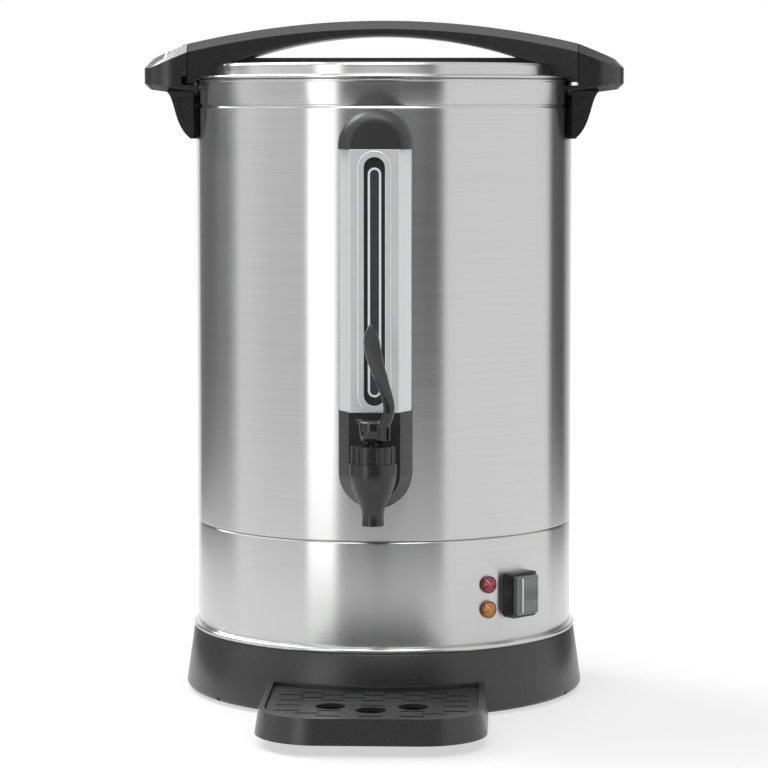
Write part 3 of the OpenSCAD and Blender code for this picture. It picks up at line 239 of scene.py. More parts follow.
brushed_steel, tree, shader = new_finish("brushed_stainless_steel", {
    "Metallic": 1.0, "Anisotropic": 1.0, "Anisotropic Rotation": 0.25,
})
place = add_node(tree, "ShaderNodeTexCoord", {}, {})
axes = add_node(tree, "ShaderNodeSeparateXYZ", {}, {0: place.outputs["Object"]})
flat = add_node(tree, "ShaderNodeCombineXYZ", {}, {"X": axes.outputs["X"], "Y": axes.outputs["Y"]})
radius = add_node(tree, "ShaderNodeVectorMath", {"operation": "LENGTH"}, {0: flat.outputs[0]})
across = add_node(tree, "ShaderNodeMath", {"operation": "ADD"}, {
    0: radius.outputs["Value"], 1: axes.outputs["Z"]})
lanes = add_node(tree, "ShaderNodeCombineXYZ", {}, {
    "X": axes.outputs["X"], "Y": axes.outputs["Y"], "Z": across.outputs[0]})
stretch = add_node(tree, "ShaderNodeVectorMath", {"operation": "MULTIPLY"}, {
    0: lanes.outputs[0], 1: (1000 / SCRATCH_LENGTH, 1000 / SCRATCH_LENGTH, 1000 / SCRATCH_PITCH)})
scratches = add_node(tree, "ShaderNodeTexNoise", {}, {
    "Vector": stretch.outputs[0], "Scale": 1.0, "Detail": 3.0, "Roughness": 0.7})
vary(tree, shader, scratches.outputs["Fac"], ("#c6c7c7", "#d2d2d1"), (0.21, 0.25), (0.03, 0.05))
along = add_node(tree, "ShaderNodeTangent", {"direction_type": "RADIAL", "axis": "Z"}, {})
tree.links.new(along.outputs[0], shader.inputs["Tangent"])
print("scratches every", SCRATCH_PITCH, "mm")

# %% [markdown]
# ## Moulded plastics, rubber and plain metal
# Most other parts are moulded or stamped, and one recipe suits them: a fine grain that varies the colour,
# the gloss and the relief a little. The grain is the spark-eroded texture of a plastic tool, the bloom of
# rubber or the rolling marks of sheet metal. What differs is its size, its two colours and its gloss.

# %% Grained finishes
GLOSS_CHANGE = 0.05
GRAIN_STRENGTH = 0.3


def grained(name, colours, grain, rough, height, sockets):
    """A finish with a grain of that size and relief in millimetres, between two colours."""
    finish, tree, shader = new_finish(name, sockets)
    place = add_node(tree, "ShaderNodeTexCoord", {}, {})
    speck = add_node(tree, "ShaderNodeTexNoise", {}, {
        "Vector": place.outputs["Object"], "Scale": 1000 / grain, "Detail": 2.0, "Roughness": 0.6})
    vary(tree, shader, speck.outputs["Fac"], colours, (rough - GLOSS_CHANGE, rough + GLOSS_CHANGE),
         (GRAIN_STRENGTH, height))
    return finish


# Charcoal ABS with a satin tool texture, whose grain is drawn at about a pixel so that it shows
satin_abs = grained("satin_charcoal_abs", ("#242425", "#2d2d2e"), 0.8, 0.3, 0.006, {"IOR": 1.54})
# The same ABS from a coarser tool, which spreads its highlights more, and paler as painted light on the
# cap's face
lit_coarse_abs = grained("coarse_charcoal_abs_painted_light", ("#2a2a2b", "#323233"), 0.8, 0.42, 0.006, {"IOR": 1.54})
# Glass-filled nylon of the tap: darker and a little glossier than the ABS, with a shallower grain
tap_nylon = grained("satin_black_nylon", ("#1d1d1e", "#242425"), 0.8, 0.27, 0.003, {"IOR": 1.53})
# Nylon of the lever and its pin, polished by years of thumbs
lever_nylon = grained("polished_black_nylon", ("#1c1c1d", "#232324"), 2, 0.13, 0.002, {"IOR": 1.53})
# The same nylon, pale along the lever's edge as a painted highlight
edge_highlight_nylon = grained("pale_nylon_painted_highlight", ("#5c5c5d", "#727273"), 1.5, 0.2, 0.005, {"IOR": 1.53})
# ABS with a silver lacquer: metal flakes under a clear coat
silver_lacquer = grained("silver_lacquered_abs", ("#dfe1e2", "#ebecec"), 0.5, 0.32, 0.006, {
    "Metallic": 0.38, "Coat Weight": 0.2, "Coat Roughness": 0.15})
# Charcoal acrylic of the gauge's scale, polished
black_acrylic = grained("polished_black_acrylic", ("#303031", "#373738"), 2, 0.2, 0.005, {"IOR": 1.49})
# White printing ink, matt and a little uneven
white_ink = grained("white_screen_ink", ("#d9dadb", "#efefef"), 0.6, 0.5, 0.01, {})
# Smoky ink of the level marks
mark_ink = grained("dark_screen_ink", ("#262627", "#2e2e2f"), 0.6, 0.5, 0.01, {})
print("finishes that show in front:", len(bpy.data.materials))

# %% Finishes of the switch and of the parts inside
# Black ABS of the switch's frame, darker than the mouldings around the urn, and grey ABS of its rocker
switch_abs = grained("black_switch_abs", ("#1a1a1b", "#222223"), 1, 0.3, 0.02, {"IOR": 1.54})
rocker_abs = grained("grey_rocker_abs", ("#3a3b3c", "#454647"), 1, 0.35, 0.02, {"IOR": 1.54})
# Rubber and silicone, moulded matt: the one for the foot, the other for the seals
black_rubber = grained("black_rubber", ("#131313", "#1e1e1e"), 1.5, 0.7, 0.05, {"IOR": 1.52})
pale_silicone = grained("pale_silicone", ("#cfc8ba", "#ddd7ca"), 2, 0.5, 0.02, {"Subsurface Weight": 0.2})
# Heatproof plastics around the heater, each in the colour in which it is usually sold
grey_nylon = grained("grey_nylon", ("#8b8d8f", "#999b9d"), 1.5, 0.45, 0.03, {"IOR": 1.53})
brown_phenolic = grained("brown_phenolic", ("#2d2621", "#3d342d"), 0.7, 0.4, 0.03, {"IOR": 1.6})
ivory_melamine = grained("ivory_melamine", ("#d6cfb9", "#e4decb"), 1.2, 0.35, 0.02, {"IOR": 1.55})
red_sleeve = grained("red_silicone_sleeve", ("#8d2b20", "#a63a2c"), 1.5, 0.5, 0.03, {})
# Plain metals: plated screws with a cool sheen, drawn sheet with a smooth one, and a grainy casting
zinc_steel = grained("zinc_plated_steel", ("#a9adb1", "#c3c6c8"), 3, 0.34, 0.02, {"Metallic": 1.0})
drawn_stainless = grained("drawn_stainless_steel", ("#b9babb", "#cfd0d0"), 2, 0.24, 0.02, {"Metallic": 1.0})
cast_aluminium = grained("cast_aluminium", ("#9fa2a5", "#bcbfc1"), 1.5, 0.5, 0.08, {"Metallic": 1.0})
print("finishes so far:", len(bpy.data.materials))

# %% [markdown]
# ## Clear parts
# The sight tube is glass, the gauge's window is smoky plastic, and the lamps' lenses are tinted plastic over
# a pale reflector. Glass gets full transmission and almost no roughness. The plastics only pass part of the
# light, so they keep a body colour, as the real lenses do with the lamp off.

# %% Clear finishes
glass = grained("borosilicate_glass", ("#eef4f4", "#f6fafa"), 20, 0.05, 0.005, {
    "IOR": 1.47, "Transmission Weight": 1.0})
smoky_pc = grained("smoky_polycarbonate", ("#4a4c4e", "#545658"), 6, 0.16, 0.01, {
    "IOR": 1.49, "Transmission Weight": 0.35})
red_pc = grained("red_polycarbonate", ("#981428", "#c04450"), 2.5, 0.14, 0.02, {
    "IOR": 1.58, "Transmission Weight": 0.2, "Coat Weight": 0.5})
amber_pc = grained("amber_polycarbonate", ("#bc701a", "#dc9a40"), 2.5, 0.14, 0.02, {
    "IOR": 1.58, "Transmission Weight": 0.2, "Coat Weight": 0.5})
# The same plastics at the lenses' rims, darker as painted shade round each lens
red_rim_shade_pc = grained("red_polycarbonate_painted_shade", ("#4a0b16", "#5e1320"), 2.5, 0.16, 0.02, {"IOR": 1.58})
amber_rim_shade_pc = grained("amber_polycarbonate_painted_shade", ("#5c3812", "#744a1a"), 2.5, 0.16, 0.02, {"IOR": 1.58})
print("finishes with the clear ones:", len(bpy.data.materials))

# %% [markdown]
# ## Drawing and spinning
# The tank, the skirt, the foot and the lid are all round about one axis, so each is one line spun round
# it, as a metal spinner forms sheet over a chuck. A line is drawn in edit mode by extruding one point from
# place to place. Round corners in the line are arcs, so that they catch the light as rolled sheet does.

# %% Helpers for lines and spun shells
SPIN_STEPS = 192
SEAM_MERGE = 0.005


def clear_selection():
    """Leaves edit mode, deselects everything and goes back to picking points."""
    if bpy.context.mode != "OBJECT":
        bpy.ops.object.mode_set(mode="OBJECT")
    bpy.ops.object.select_all(action="DESELECT")
    scene.tool_settings.mesh_select_mode = (True, False, False)


def pick(piece):
    """Selects one piece alone and makes it the active one."""
    clear_selection()
    piece.select_set(True)
    bpy.context.view_layer.objects.active = piece


def arc(centre, radius, start, end, steps=8):
    """Points of an arc between two angles in degrees."""
    angles = [math.radians(start + (end - start) * i / steps) for i in range(steps + 1)]
    return [(centre[0] + radius * math.cos(a), centre[1] + radius * math.sin(a)) for a in angles]


def draw_line(name, points):
    """Draws a line through points in millimetres and stays in edit mode."""
    clear_selection()
    bpy.ops.mesh.primitive_plane_add(size=MM)
    line = bpy.context.object
    line.name = name
    bpy.ops.object.mode_set(mode="EDIT")
    bpy.ops.mesh.merge(type="CENTER")
    bpy.ops.transform.translate(value=Vector(points[0]) * MM)
    for here, there in zip(points, points[1:]):
        step = (Vector(there) - Vector(here)) * MM
        bpy.ops.mesh.extrude_vertices_move(TRANSFORM_OT_translate={"value": step})
    return line


def soften(piece, angle=35):
    """Shades a piece smooth, except across edges sharper than an angle."""
    pick(piece)
    bpy.ops.object.shade_smooth_by_angle(angle=math.radians(angle))


def spun(name, outline, axis=(0, 0), steps=SPIN_STEPS):
    """Spins an outline about an upright axis. It is closed first unless both its ends are on the axis."""
    points = [(axis[0] + r, axis[1], z) for r, z in outline]
    if outline[0][0] or outline[-1][0]:
        points.append(points[0])
    piece = draw_line(name, points)
    bpy.ops.mesh.select_all(action="SELECT")
    bpy.ops.mesh.spin(steps=steps, angle=2 * math.pi, axis=(0, 0, 1),
                      center=(axis[0] * MM, axis[1] * MM, 0))
    bpy.ops.mesh.select_all(action="SELECT")
    bpy.ops.mesh.remove_doubles(threshold=SEAM_MERGE * MM)
    bpy.ops.mesh.normals_make_consistent(inside=False)
    soften(piece)
    return piece


def dress(piece, body, slot, finish, *replaced):
    """Gives a piece its finish and the body that it moves with, and hides the nodes that it stands for."""
    piece.data.materials.clear()
    piece.data.materials.append(finish)
    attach(piece, body)
    if replaced:
        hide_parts(*replaced)
    print(piece.name, "has", len(piece.data.polygons), "faces and rides on", body)


# %% [markdown]
# The tank is a drum with its bottom set in above the seam. Two details catch the eye: the shallow groove
# under the rim, rolled to stiffen the sheet, and the lower edge, which is turned in round a small radius.

# %% Tank
SHEET = 1.0
BEAD_OUT = 3.5
SEAM_ROUND = 1.6
SEAM_FLANGE = 7
GROOVE_DOWN = 20
# The groove's line, as steps inward from the drum and upward from the groove's middle
GROOVE = [(0, -2.4), (0.15, -1.6), (0.5, -0.9), (0.95, -0.3), (1.05, 0.3), (0.8, 0.8), (0.2, 1.1), (0, 1.5)]
CURL_R = 1.2
CURL_IN = 0.5
CURL_NECK = 1.1
CURL_FLARE = (0.2, 1.6)

seam_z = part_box("tank")[0].z / MM
rim_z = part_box("tank")[1].z / MM
floor_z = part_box("heat_plate")[1].z / MM
body_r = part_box("skirt")[1].x / MM - BEAD_OUT
inner_r = body_r - SHEET
groove_z = rim_z - GROOVE_DOWN
curl_z = rim_z - CURL_R
flange_r = body_r - SEAM_FLANGE
tank = spun("tank_shell", [
    (0, floor_z), (inner_r, floor_z), (inner_r, seam_z + SHEET), (flange_r, seam_z + SHEET),
    (flange_r, seam_z), *arc((body_r - SEAM_ROUND, seam_z + SEAM_ROUND), SEAM_ROUND, -90, 0),
    *[(body_r - inward, groove_z + up) for inward, up in GROOVE],
    (body_r, curl_z - CURL_NECK), *arc((body_r - CURL_IN, curl_z), CURL_R, -50, 190, 12),
    (inner_r - CURL_FLARE[0], curl_z - CURL_NECK), (inner_r, curl_z - CURL_FLARE[1]),
    (inner_r, floor_z + SHEET), (0, floor_z + SHEET)])
dress(tank, "urn", "brushed_steel", brushed_steel, "tank")

# %% [markdown]
# The skirt carries the tank and the controls. Its top edge is turned in to meet the tank's, so the two
# rounded edges make a fine dark seam. Its foot is rolled into a bead, with a thin crease above the roll.
# The switch passes through a window that is cut with a boolean, because the window isn't round.

# %% Helpers for placing and cutting
def aim(piece, azimuth, reach, level):
    """Puts a piece that was drawn flat, facing up, on the urn: its face outward, its Y upward."""
    turn = math.radians(azimuth)
    piece.rotation_euler = (math.pi / 2, 0, turn)
    piece.location = Vector((reach * math.sin(turn), -reach * math.cos(turn), level)) * MM
    pick(piece)
    bpy.ops.object.transform_apply(location=True, rotation=True, scale=True)


def block(name, size, place=(0, 0, 0)):
    """A block of that size about a place, in millimetres."""
    clear_selection()
    bpy.ops.mesh.primitive_cube_add(size=MM)
    made = bpy.context.object
    made.name = name
    made.scale = size
    bpy.ops.object.transform_apply(location=False, rotation=False, scale=True)
    made.location = Vector(place) * MM
    bpy.ops.object.transform_apply(location=True, rotation=False, scale=False)
    return made


def apply_modifier(piece, kind, **settings):
    """Adds a modifier, sets it and applies it."""
    pick(piece)
    modifier = piece.modifiers.new(kind.lower(), kind)
    for name, value in settings.items():
        setattr(modifier, name, value)
    bpy.ops.object.modifier_apply(modifier=modifier.name)


def cut(piece, cutter):
    """Cuts a cutter out of a piece and deletes the cutter."""
    apply_modifier(piece, "BOOLEAN", operation="DIFFERENCE", object=cutter, solver="EXACT")
    bpy.data.objects.remove(cutter)


# %% Skirt
BEAD_R = 2.0
# The crease's line, as steps outward from the drum and upward from the bead's middle
CREASE = [(0.25, 2.2), (-0.25, 2.6), (0, 3.4)]
SWITCH_AZIMUTH = 45.6
SWITCH_HOLE = (23.6, 30.2, 20)
PANEL_Z = 88

skirt_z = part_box("skirt")[0].z / MM
bead_z = skirt_z + BEAD_R
skirt = spun("skirt_shell", [
    (inner_r, skirt_z), *arc((body_r + BEAD_OUT - BEAD_R, bead_z), BEAD_R, -90, 100, 12),
    *[(body_r + out, bead_z + up) for out, up in CREASE],
    *arc((body_r - SEAM_ROUND, seam_z - SEAM_ROUND), SEAM_ROUND, 0, 90),
    (flange_r, seam_z), (flange_r, seam_z - SHEET), (inner_r, seam_z - SHEET)])
window = block("switch_window", SWITCH_HOLE)
aim(window, SWITCH_AZIMUTH, body_r, PANEL_Z)
cut(skirt, window)
soften(skirt)
dress(skirt, "urn", "brushed_steel", brushed_steel, "skirt")

# %% [markdown]
# The foot is one black moulding that flares toward the table. It is a spun wall too, with its lower edge
# rounded, three drain notches in that edge and two slots at the front for the tray's hooks.

# %% Foot
FOOT_TOP_IN = 6
# The eased top edge, as steps outward from the wall and downward from the top
TOP_EASE = [(0.1, 0.8), (-0.6, 0)]
FOOT_ROUND = 4
FOOT_WALL = 3
LEDGE_R = 125
LEDGE = 2.6
SHELF_R = 140.5
LIP_IN = 5.5
NOTCH = (4, 6.8, 12)
NOTCH_AZIMUTHS = (-52.5, 67, 187)
HOOK_SLOT = (24.6, 40, 6.6)
HOOK_X = 45
HOOK_Z = 16

foot_lo, foot_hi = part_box("base")
foot_r = foot_hi.x / MM
foot_z = foot_lo.z / MM
foot_top = foot_hi.z / MM
top_r = foot_r - FOOT_TOP_IN
lip_r = foot_r - LIP_IN
foot = spun("foot_moulding", [
    (lip_r, foot_z), *arc((foot_r - FOOT_ROUND, foot_z + FOOT_ROUND), FOOT_ROUND, -90, 4, 10),
    *[(top_r + out, foot_top - down) for out, down in TOP_EASE], (LEDGE_R, foot_top),
    (LEDGE_R, foot_top - LEDGE), (top_r - FOOT_WALL, foot_top - LEDGE),
    (foot_r - FOOT_WALL, foot_z + 2 * LEDGE), (SHELF_R, foot_z + 2 * LEDGE),
    (SHELF_R, foot_z + LEDGE), (lip_r, foot_z + LEDGE)])
for azimuth in NOTCH_AZIMUTHS:
    notch = block("notch", NOTCH)
    aim(notch, azimuth, foot_r, foot_z)
    cut(foot, notch)
for x in (-HOOK_X, HOOK_X):
    cut(foot, block("hook_slot", HOOK_SLOT, (x, -foot_r, HOOK_Z)))
soften(foot)
dress(foot, "urn", "black_plastic", satin_abs, "base")

# %% [markdown]
# The lid is pressed from one sheet: a plug that drops into the rim, a flange that rests on it and a raised
# disc. A pressing has no sharp corner, so the disc's shoulder and the flange's edge are arcs.

# %% Lid
LID_GAP = 0.4
LID_EDGE_R = 1.1
DISC_IN = 12.2
DISC_LEAN = 1.5
# The hollow at the disc's foot, as steps outward from the disc and upward from the flange's middle
DISC_FOOT = [(1.2, LID_EDGE_R), (0.2, 1.7), (-0.15, 2.6)]
SHOULDER = 3
SHOULDER_OUT = 0.6
SHOULDER_FROM = 12
UNDER_SHOULDER = (1.2, 2.4)
PLUG_IN = 5.4

lid_lo, lid_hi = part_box("lid")
lid_r = lid_hi.x / MM
lid_top = lid_hi.z / MM
plug_z = lid_lo.z / MM
flange_z = rim_z + LID_GAP
edge_z = flange_z + LID_EDGE_R
disc_r = lid_r - DISC_IN
lean_r = disc_r - DISC_LEAN
shoulder_r = lean_r - SHOULDER
plug_r = lid_r - PLUG_IN
lid = spun("lid_pressing", [
    (0, lid_top - SHEET), (shoulder_r, lid_top - SHEET),
    (lean_r - UNDER_SHOULDER[0], lid_top - UNDER_SHOULDER[1]), (disc_r - SHEET, edge_z),
    (plug_r - SHEET, edge_z), (plug_r - SHEET, plug_z), (plug_r, plug_z), (plug_r, flange_z),
    *arc((lid_r - LID_EDGE_R, edge_z), LID_EDGE_R, -90, 90),
    *[(disc_r + out, edge_z + up) for out, up in DISC_FOOT],
    *arc((shoulder_r + SHOULDER_OUT, lid_top - SHOULDER), SHOULDER, SHOULDER_FROM, 90), (0, lid_top)])
dress(lid, "lid", "brushed_steel", brushed_steel, "lid")

# %% [markdown]
# ## Mouldings from the frame
# The handles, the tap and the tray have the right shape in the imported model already, but its edges are as
# sharp as a drawing. A real moulding has small radii everywhere, and they are what catches the light. So a
# copy of the mesh is merged, its flat faces are joined again, and a bevel rounds each sharp edge. Smooth
# shading would then bend the light over the flat faces too, so their normals are weighted by area.

# %% Softened copies
# Angles in degrees: what counts as a sharp edge to round, as one flat face, and as smooth after a bevel
SHARP = 20
FLAT = 0.1
SMOOTH_BELOW = 30
ROUND_SEGMENTS = 5
# Lengths in millimetres: points this near are one point, and edges this short are left-overs of a bevel
SAME_PLACE = 0.002
SLIVER = 0.001
# Left-over holes with no more sides than this are closed
HOLE_SIDES = 8


def round_edges(piece, width, chosen):
    """Rounds those sharp edges whose middles pass a test, by a width in millimetres."""
    pick(piece)
    bpy.ops.object.mode_set(mode="EDIT")
    bpy.ops.mesh.select_mode(type="EDGE")
    bpy.ops.mesh.select_all(action="DESELECT")
    bpy.ops.mesh.edges_select_sharp(sharpness=math.radians(SHARP))
    bpy.ops.object.mode_set(mode="OBJECT")
    points = piece.data.vertices
    count = 0
    for edge in piece.data.edges:
        middle = (points[edge.vertices[0]].co + points[edge.vertices[1]].co) / 2 / MM
        edge.select = edge.select and chosen(middle)
        count += edge.select
    bpy.ops.object.mode_set(mode="EDIT")
    bpy.ops.mesh.bevel(offset=width * MM, segments=ROUND_SEGMENTS, clamp_overlap=True)
    bpy.ops.object.mode_set(mode="OBJECT")
    print(piece.name, "gets a rounding of", width, "mm on", count, "edges")


def ease(piece, width, angle, **settings):
    """Bevels the edges that are sharper than an angle, by a width in millimetres."""
    apply_modifier(piece, "BEVEL", width=width * MM, limit_method="ANGLE", angle_limit=math.radians(angle),
                   **settings)


def moulded(node, name, edge, angle=25, segments=3, rounded=(), merge=SAME_PLACE):
    """A copy of a node with chosen edges well rounded and all sharp edges eased, in millimetres."""
    piece = bpy.data.objects.new(name, nodes[node].data.copy())
    scene.collection.objects.link(piece)
    pick(piece)
    bpy.ops.object.mode_set(mode="EDIT")
    bpy.ops.mesh.select_all(action="SELECT")
    bpy.ops.mesh.remove_doubles(threshold=merge * MM)
    bpy.ops.mesh.dissolve_limited(angle_limit=math.radians(FLAT))
    bpy.ops.object.mode_set(mode="OBJECT")
    for width, chosen in rounded:
        round_edges(piece, width, chosen)
    if edge:
        ease(piece, edge, angle, segments=segments, miter_outer="MITER_ARC", use_clamp_overlap=True)
    bpy.ops.object.mode_set(mode="EDIT")
    bpy.ops.mesh.select_all(action="SELECT")
    bpy.ops.mesh.dissolve_degenerate(threshold=SLIVER * MM)
    bpy.ops.mesh.select_all(action="SELECT")
    bpy.ops.mesh.fill_holes(sides=HOLE_SIDES)
    soften(piece, SMOOTH_BELOW)
    apply_modifier(piece, "WEIGHTED_NORMAL", keep_sharp=True)
    return piece


# %% [markdown]
# The lid's handle is an arch with sloped shoulders, and a grip on either side continues its line. The grips'
# brackets have tiny facets round their panels, which are merged first, because a bevel can be no wider than
# the shortest edge beside it.

# %% Handles
TINY = 0.4
ARCH_EDGE = 0.9
GRIP_EDGE = 0.6
GRIP_ANGLE = 40

arch = moulded("lid_handle", "arch_handle", ARCH_EDGE)
dress(arch, "lid", "black_plastic", satin_abs, "lid_handle")
for side in ("left", "right"):
    grip = moulded(f"side_handle_{side}", f"{side}_grip", GRIP_EDGE, angle=GRIP_ANGLE, merge=TINY)
    dress(grip, "urn", "black_plastic", satin_abs, f"side_handle_{side}")

# %% [markdown]
# ## The sight gauge
# A silver channel runs up the front. Its cap is a half dome, turned about a line that points at the viewer,
# so it is spun flat on the ground plane, aimed at the front and cut straight at the channel's top. Its
# shoulder is a quarter of an ellipse, which holds a soft highlight, where a plain slope would look flat.

# %% Channel, cap and shield
BEZEL_EDGE = 0.6
CAP_FACE_R = 16.5
CAP_SHOULDER = 13
CAP_STEPS = 10
CAP_WALL = 2.2
CAP_EDGE = 0.6
CORNER_ANGLE = 50
SMALL_SPIN = 96
DRUM_GAP = 0.15
DRUM_H = 100
SHIELD_EDGE = 0.7

bezel = moulded("gauge_bezel", "bezel_channel", BEZEL_EDGE)
dress(bezel, "urn", "silver_plastic", silver_lacquer, "gauge_bezel")

cap_lo, cap_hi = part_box("gauge_cap")
cap_r = cap_hi.x / MM
cap_z = cap_hi.z / MM - cap_r
cap_depth = (cap_hi.y - cap_lo.y) / MM


def cap_line(radius, depth):
    """The line of the half dome's shoulder and face, from its side to its middle."""
    turns = [math.radians(90 * i / CAP_STEPS) for i in range(CAP_STEPS + 1)]
    reach = radius - CAP_FACE_R
    shoulder = [(CAP_FACE_R + reach * math.cos(t), depth - CAP_SHOULDER * (1 - math.sin(t))) for t in turns]
    return shoulder + [(0, depth)]


cap = spun("cap_dome", [
    (cap_r, 0), *cap_line(cap_r, cap_depth), *reversed(cap_line(cap_r - CAP_WALL, cap_depth - CAP_WALL)),
    (cap_r - CAP_WALL, 0)], steps=SMALL_SPIN)
aim(cap, 0, -cap_hi.y / MM, cap_z)
bpy.ops.object.mode_set(mode="EDIT")
bpy.ops.mesh.select_all(action="SELECT")
bpy.ops.mesh.bisect(plane_co=(0, 0, cap_lo.z), plane_no=(0, 0, 1), clear_inner=True, use_fill=True)
clear_selection()
bpy.ops.mesh.primitive_cylinder_add(vertices=SPIN_STEPS, radius=(body_r + DRUM_GAP) * MM, depth=DRUM_H * MM,
                                    location=(0, 0, cap_z * MM))
drum = bpy.context.object
bpy.ops.object.transform_apply(location=True, rotation=False, scale=False)
cut(cap, drum)
ease(cap, CAP_EDGE, CORNER_ANGLE, segments=3)
soften(cap)
# The cap takes the paler ABS, as painted light on its face
dress(cap, "urn", "black_plastic", lit_coarse_abs, "gauge_cap")

shield = moulded("tap_housing", "tap_shield", SHIELD_EDGE)
dress(shield, "urn", "black_plastic", satin_abs, "tap_housing")

# %% [markdown]
# The scale behind the slot is a dark strip with a white line printed round its window. The window is smoky
# plastic with a column of faint square marks, and the glass tube stands behind it. The printed line is a
# flat sheet with round ends: a plane whose corners are bevelled, inset by the width of the line and opened.

# %% Flat sheets
INK = 0.12
CORNER_SEGMENTS = 10


def sheet(name, size, corner, line=0, thick=INK):
    """A flat sheet with round corners, opened inside a line of that width where one is given."""
    clear_selection()
    bpy.ops.mesh.primitive_plane_add(size=MM)
    made = bpy.context.object
    made.name = name
    made.scale = (*size, 1)
    bpy.ops.object.transform_apply(location=False, rotation=False, scale=True)
    bpy.ops.object.mode_set(mode="EDIT")
    bpy.ops.mesh.select_all(action="SELECT")
    if corner:
        bpy.ops.mesh.bevel(offset=corner * MM, segments=CORNER_SEGMENTS, affect="VERTICES")
    bpy.ops.mesh.select_mode(type="FACE")
    bpy.ops.mesh.select_all(action="SELECT")
    if line:
        bpy.ops.mesh.inset(thickness=line * MM)
        bpy.ops.mesh.delete(type="FACE")
        bpy.ops.mesh.select_all(action="SELECT")
    bpy.ops.mesh.extrude_region_move(TRANSFORM_OT_translate={"value": (0, 0, thick * MM)})
    bpy.ops.mesh.select_all(action="SELECT")
    bpy.ops.mesh.normals_make_consistent(inside=False)
    bpy.ops.object.mode_set(mode="OBJECT")
    return made


# %% Printed line, window and marks
LINE_W = 9.7
LINE_T = 1.6
LINE_LOW = 241.8
LINE_TOP = 407.8
# Round ends stay this much short of a half circle, so that their corners don't meet
END_GAP = 0.05
MARK = 3.4
MARK_LINE = 0.5
MARK_INK = 0.05
MARK_STEP = 14.6
FIRST_MARK = 9
MARK_ENDS = 12

scale_face = -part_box("gauge_scale")[0].y / MM
line_h = LINE_TOP - LINE_LOW
line_mid = (LINE_TOP + LINE_LOW) / 2
pane_w = LINE_W - 2 * LINE_T
printed = sheet("scale_line", (LINE_W, line_h), LINE_W / 2 - END_GAP, LINE_T)
aim(printed, 0, scale_face, line_mid)
dress(printed, "urn", "scale_plastic", white_ink)
pane = sheet("scale_window", (pane_w, line_h - 2 * LINE_T), pane_w / 2 - END_GAP)
aim(pane, 0, scale_face, line_mid)
dress(pane, "urn", "scale_plastic", smoky_pc)
marks = []
for i in range(int((line_h - MARK_ENDS) / MARK_STEP) + 1):
    mark = sheet("scale_mark", (MARK, MARK), 0, MARK_LINE, MARK_INK)
    aim(mark, 0, scale_face + INK, LINE_TOP - FIRST_MARK - i * MARK_STEP)
    marks.append(mark)
clear_selection()
for mark in marks:
    mark.select_set(True)
bpy.context.view_layer.objects.active = marks[0]
bpy.ops.object.join()
marks[0].name = "scale_marks"
dress(marks[0], "urn", "scale_plastic", mark_ink)

# %% [markdown]
# ## The tap
# The barrel narrows to its nozzle in a soft S, which is half a cosine wave. It is spun in many more steps
# than the frame needs, because a sheen shows every facet. The collar above it keeps its ribs from the frame.
# The water comes in from behind through a bore, which a cylinder cuts.

# %% Tap
NOZZLE_R = 7.8
NOZZLE_BORE = 5.6
NOZZLE_LIP = 0.3
NOZZLE_LIP_UP = 3
FLOW_R = 5
FLOW_SIDES = 48
CAVITY_R = 10.5
THREAD_R = 13.2
THREAD_H = 6
NECK_UP = 6
SEAT_UP = 26
FLOW_UP = 38
WIDE_UP = 39.3
# A power above one keeps the barrel wide for longer before it narrows
BARREL_POWER = 1.15
BARREL_STEPS = 40
BARREL_EDGE = 0.4
COLLAR_EDGE = 0.4

tap_lo, tap_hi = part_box("tap_body")
barrel_r = tap_hi.x / MM
tap_y = (tap_lo.y + tap_hi.y) / 2 / MM
nozzle_z = tap_lo.z / MM
thread_z = tap_hi.z / MM
seat_z = nozzle_z + SEAT_UP
collar_z = thread_z - THREAD_H


def barrel_point(t):
    """A point of the barrel's side, from its widest place down to its neck."""
    swell = 0.5 + 0.5 * math.cos(math.pi * t ** BARREL_POWER)
    return (NOZZLE_R + (barrel_r - NOZZLE_R) * swell, nozzle_z + WIDE_UP - t * (WIDE_UP - NECK_UP))


barrel = spun("tap_barrel", [
    (NOZZLE_BORE, nozzle_z), (NOZZLE_R + NOZZLE_LIP, nozzle_z), (NOZZLE_R, nozzle_z + NOZZLE_LIP_UP),
    *[barrel_point(i / BARREL_STEPS) for i in range(BARREL_STEPS, -1, -1)], (barrel_r, collar_z),
    (THREAD_R, collar_z), (THREAD_R, thread_z), (CAVITY_R, thread_z), (CAVITY_R, seat_z),
    (NOZZLE_BORE, seat_z)], (0, tap_y), SMALL_SPIN)
clear_selection()
bpy.ops.mesh.primitive_cylinder_add(vertices=FLOW_SIDES, radius=FLOW_R * MM, depth=2 * barrel_r * MM)
flow = bpy.context.object
aim(flow, 180, tap_y + barrel_r, nozzle_z + FLOW_UP)
cut(barrel, flow)
ease(barrel, BARREL_EDGE, CORNER_ANGLE, segments=3)
soften(barrel)
dress(barrel, "urn", "tap_plastic", tap_nylon, "tap_body")
collar = moulded("tap_bonnet", "tap_collar", COLLAR_EDGE)
dress(collar, "urn", "tap_plastic", tap_nylon, "tap_bonnet")

# %% [markdown]
# The lever's bowl, beak and spoon flow into each other. A voxel remesh melts their meeting lines into one
# skin, and a few rounds of smoothing give the soft creases of a casting. A thin pale bead runs round the
# spoon as a painted highlight along its edge. It follows the spoon's edge, so that edge is copied first,
# turned into a curve and given a thickness.

# %% Spoon's bead
SPOON_SHARP = 60
SPOON_FROM = 252
SPOON_BEAD = 0.45

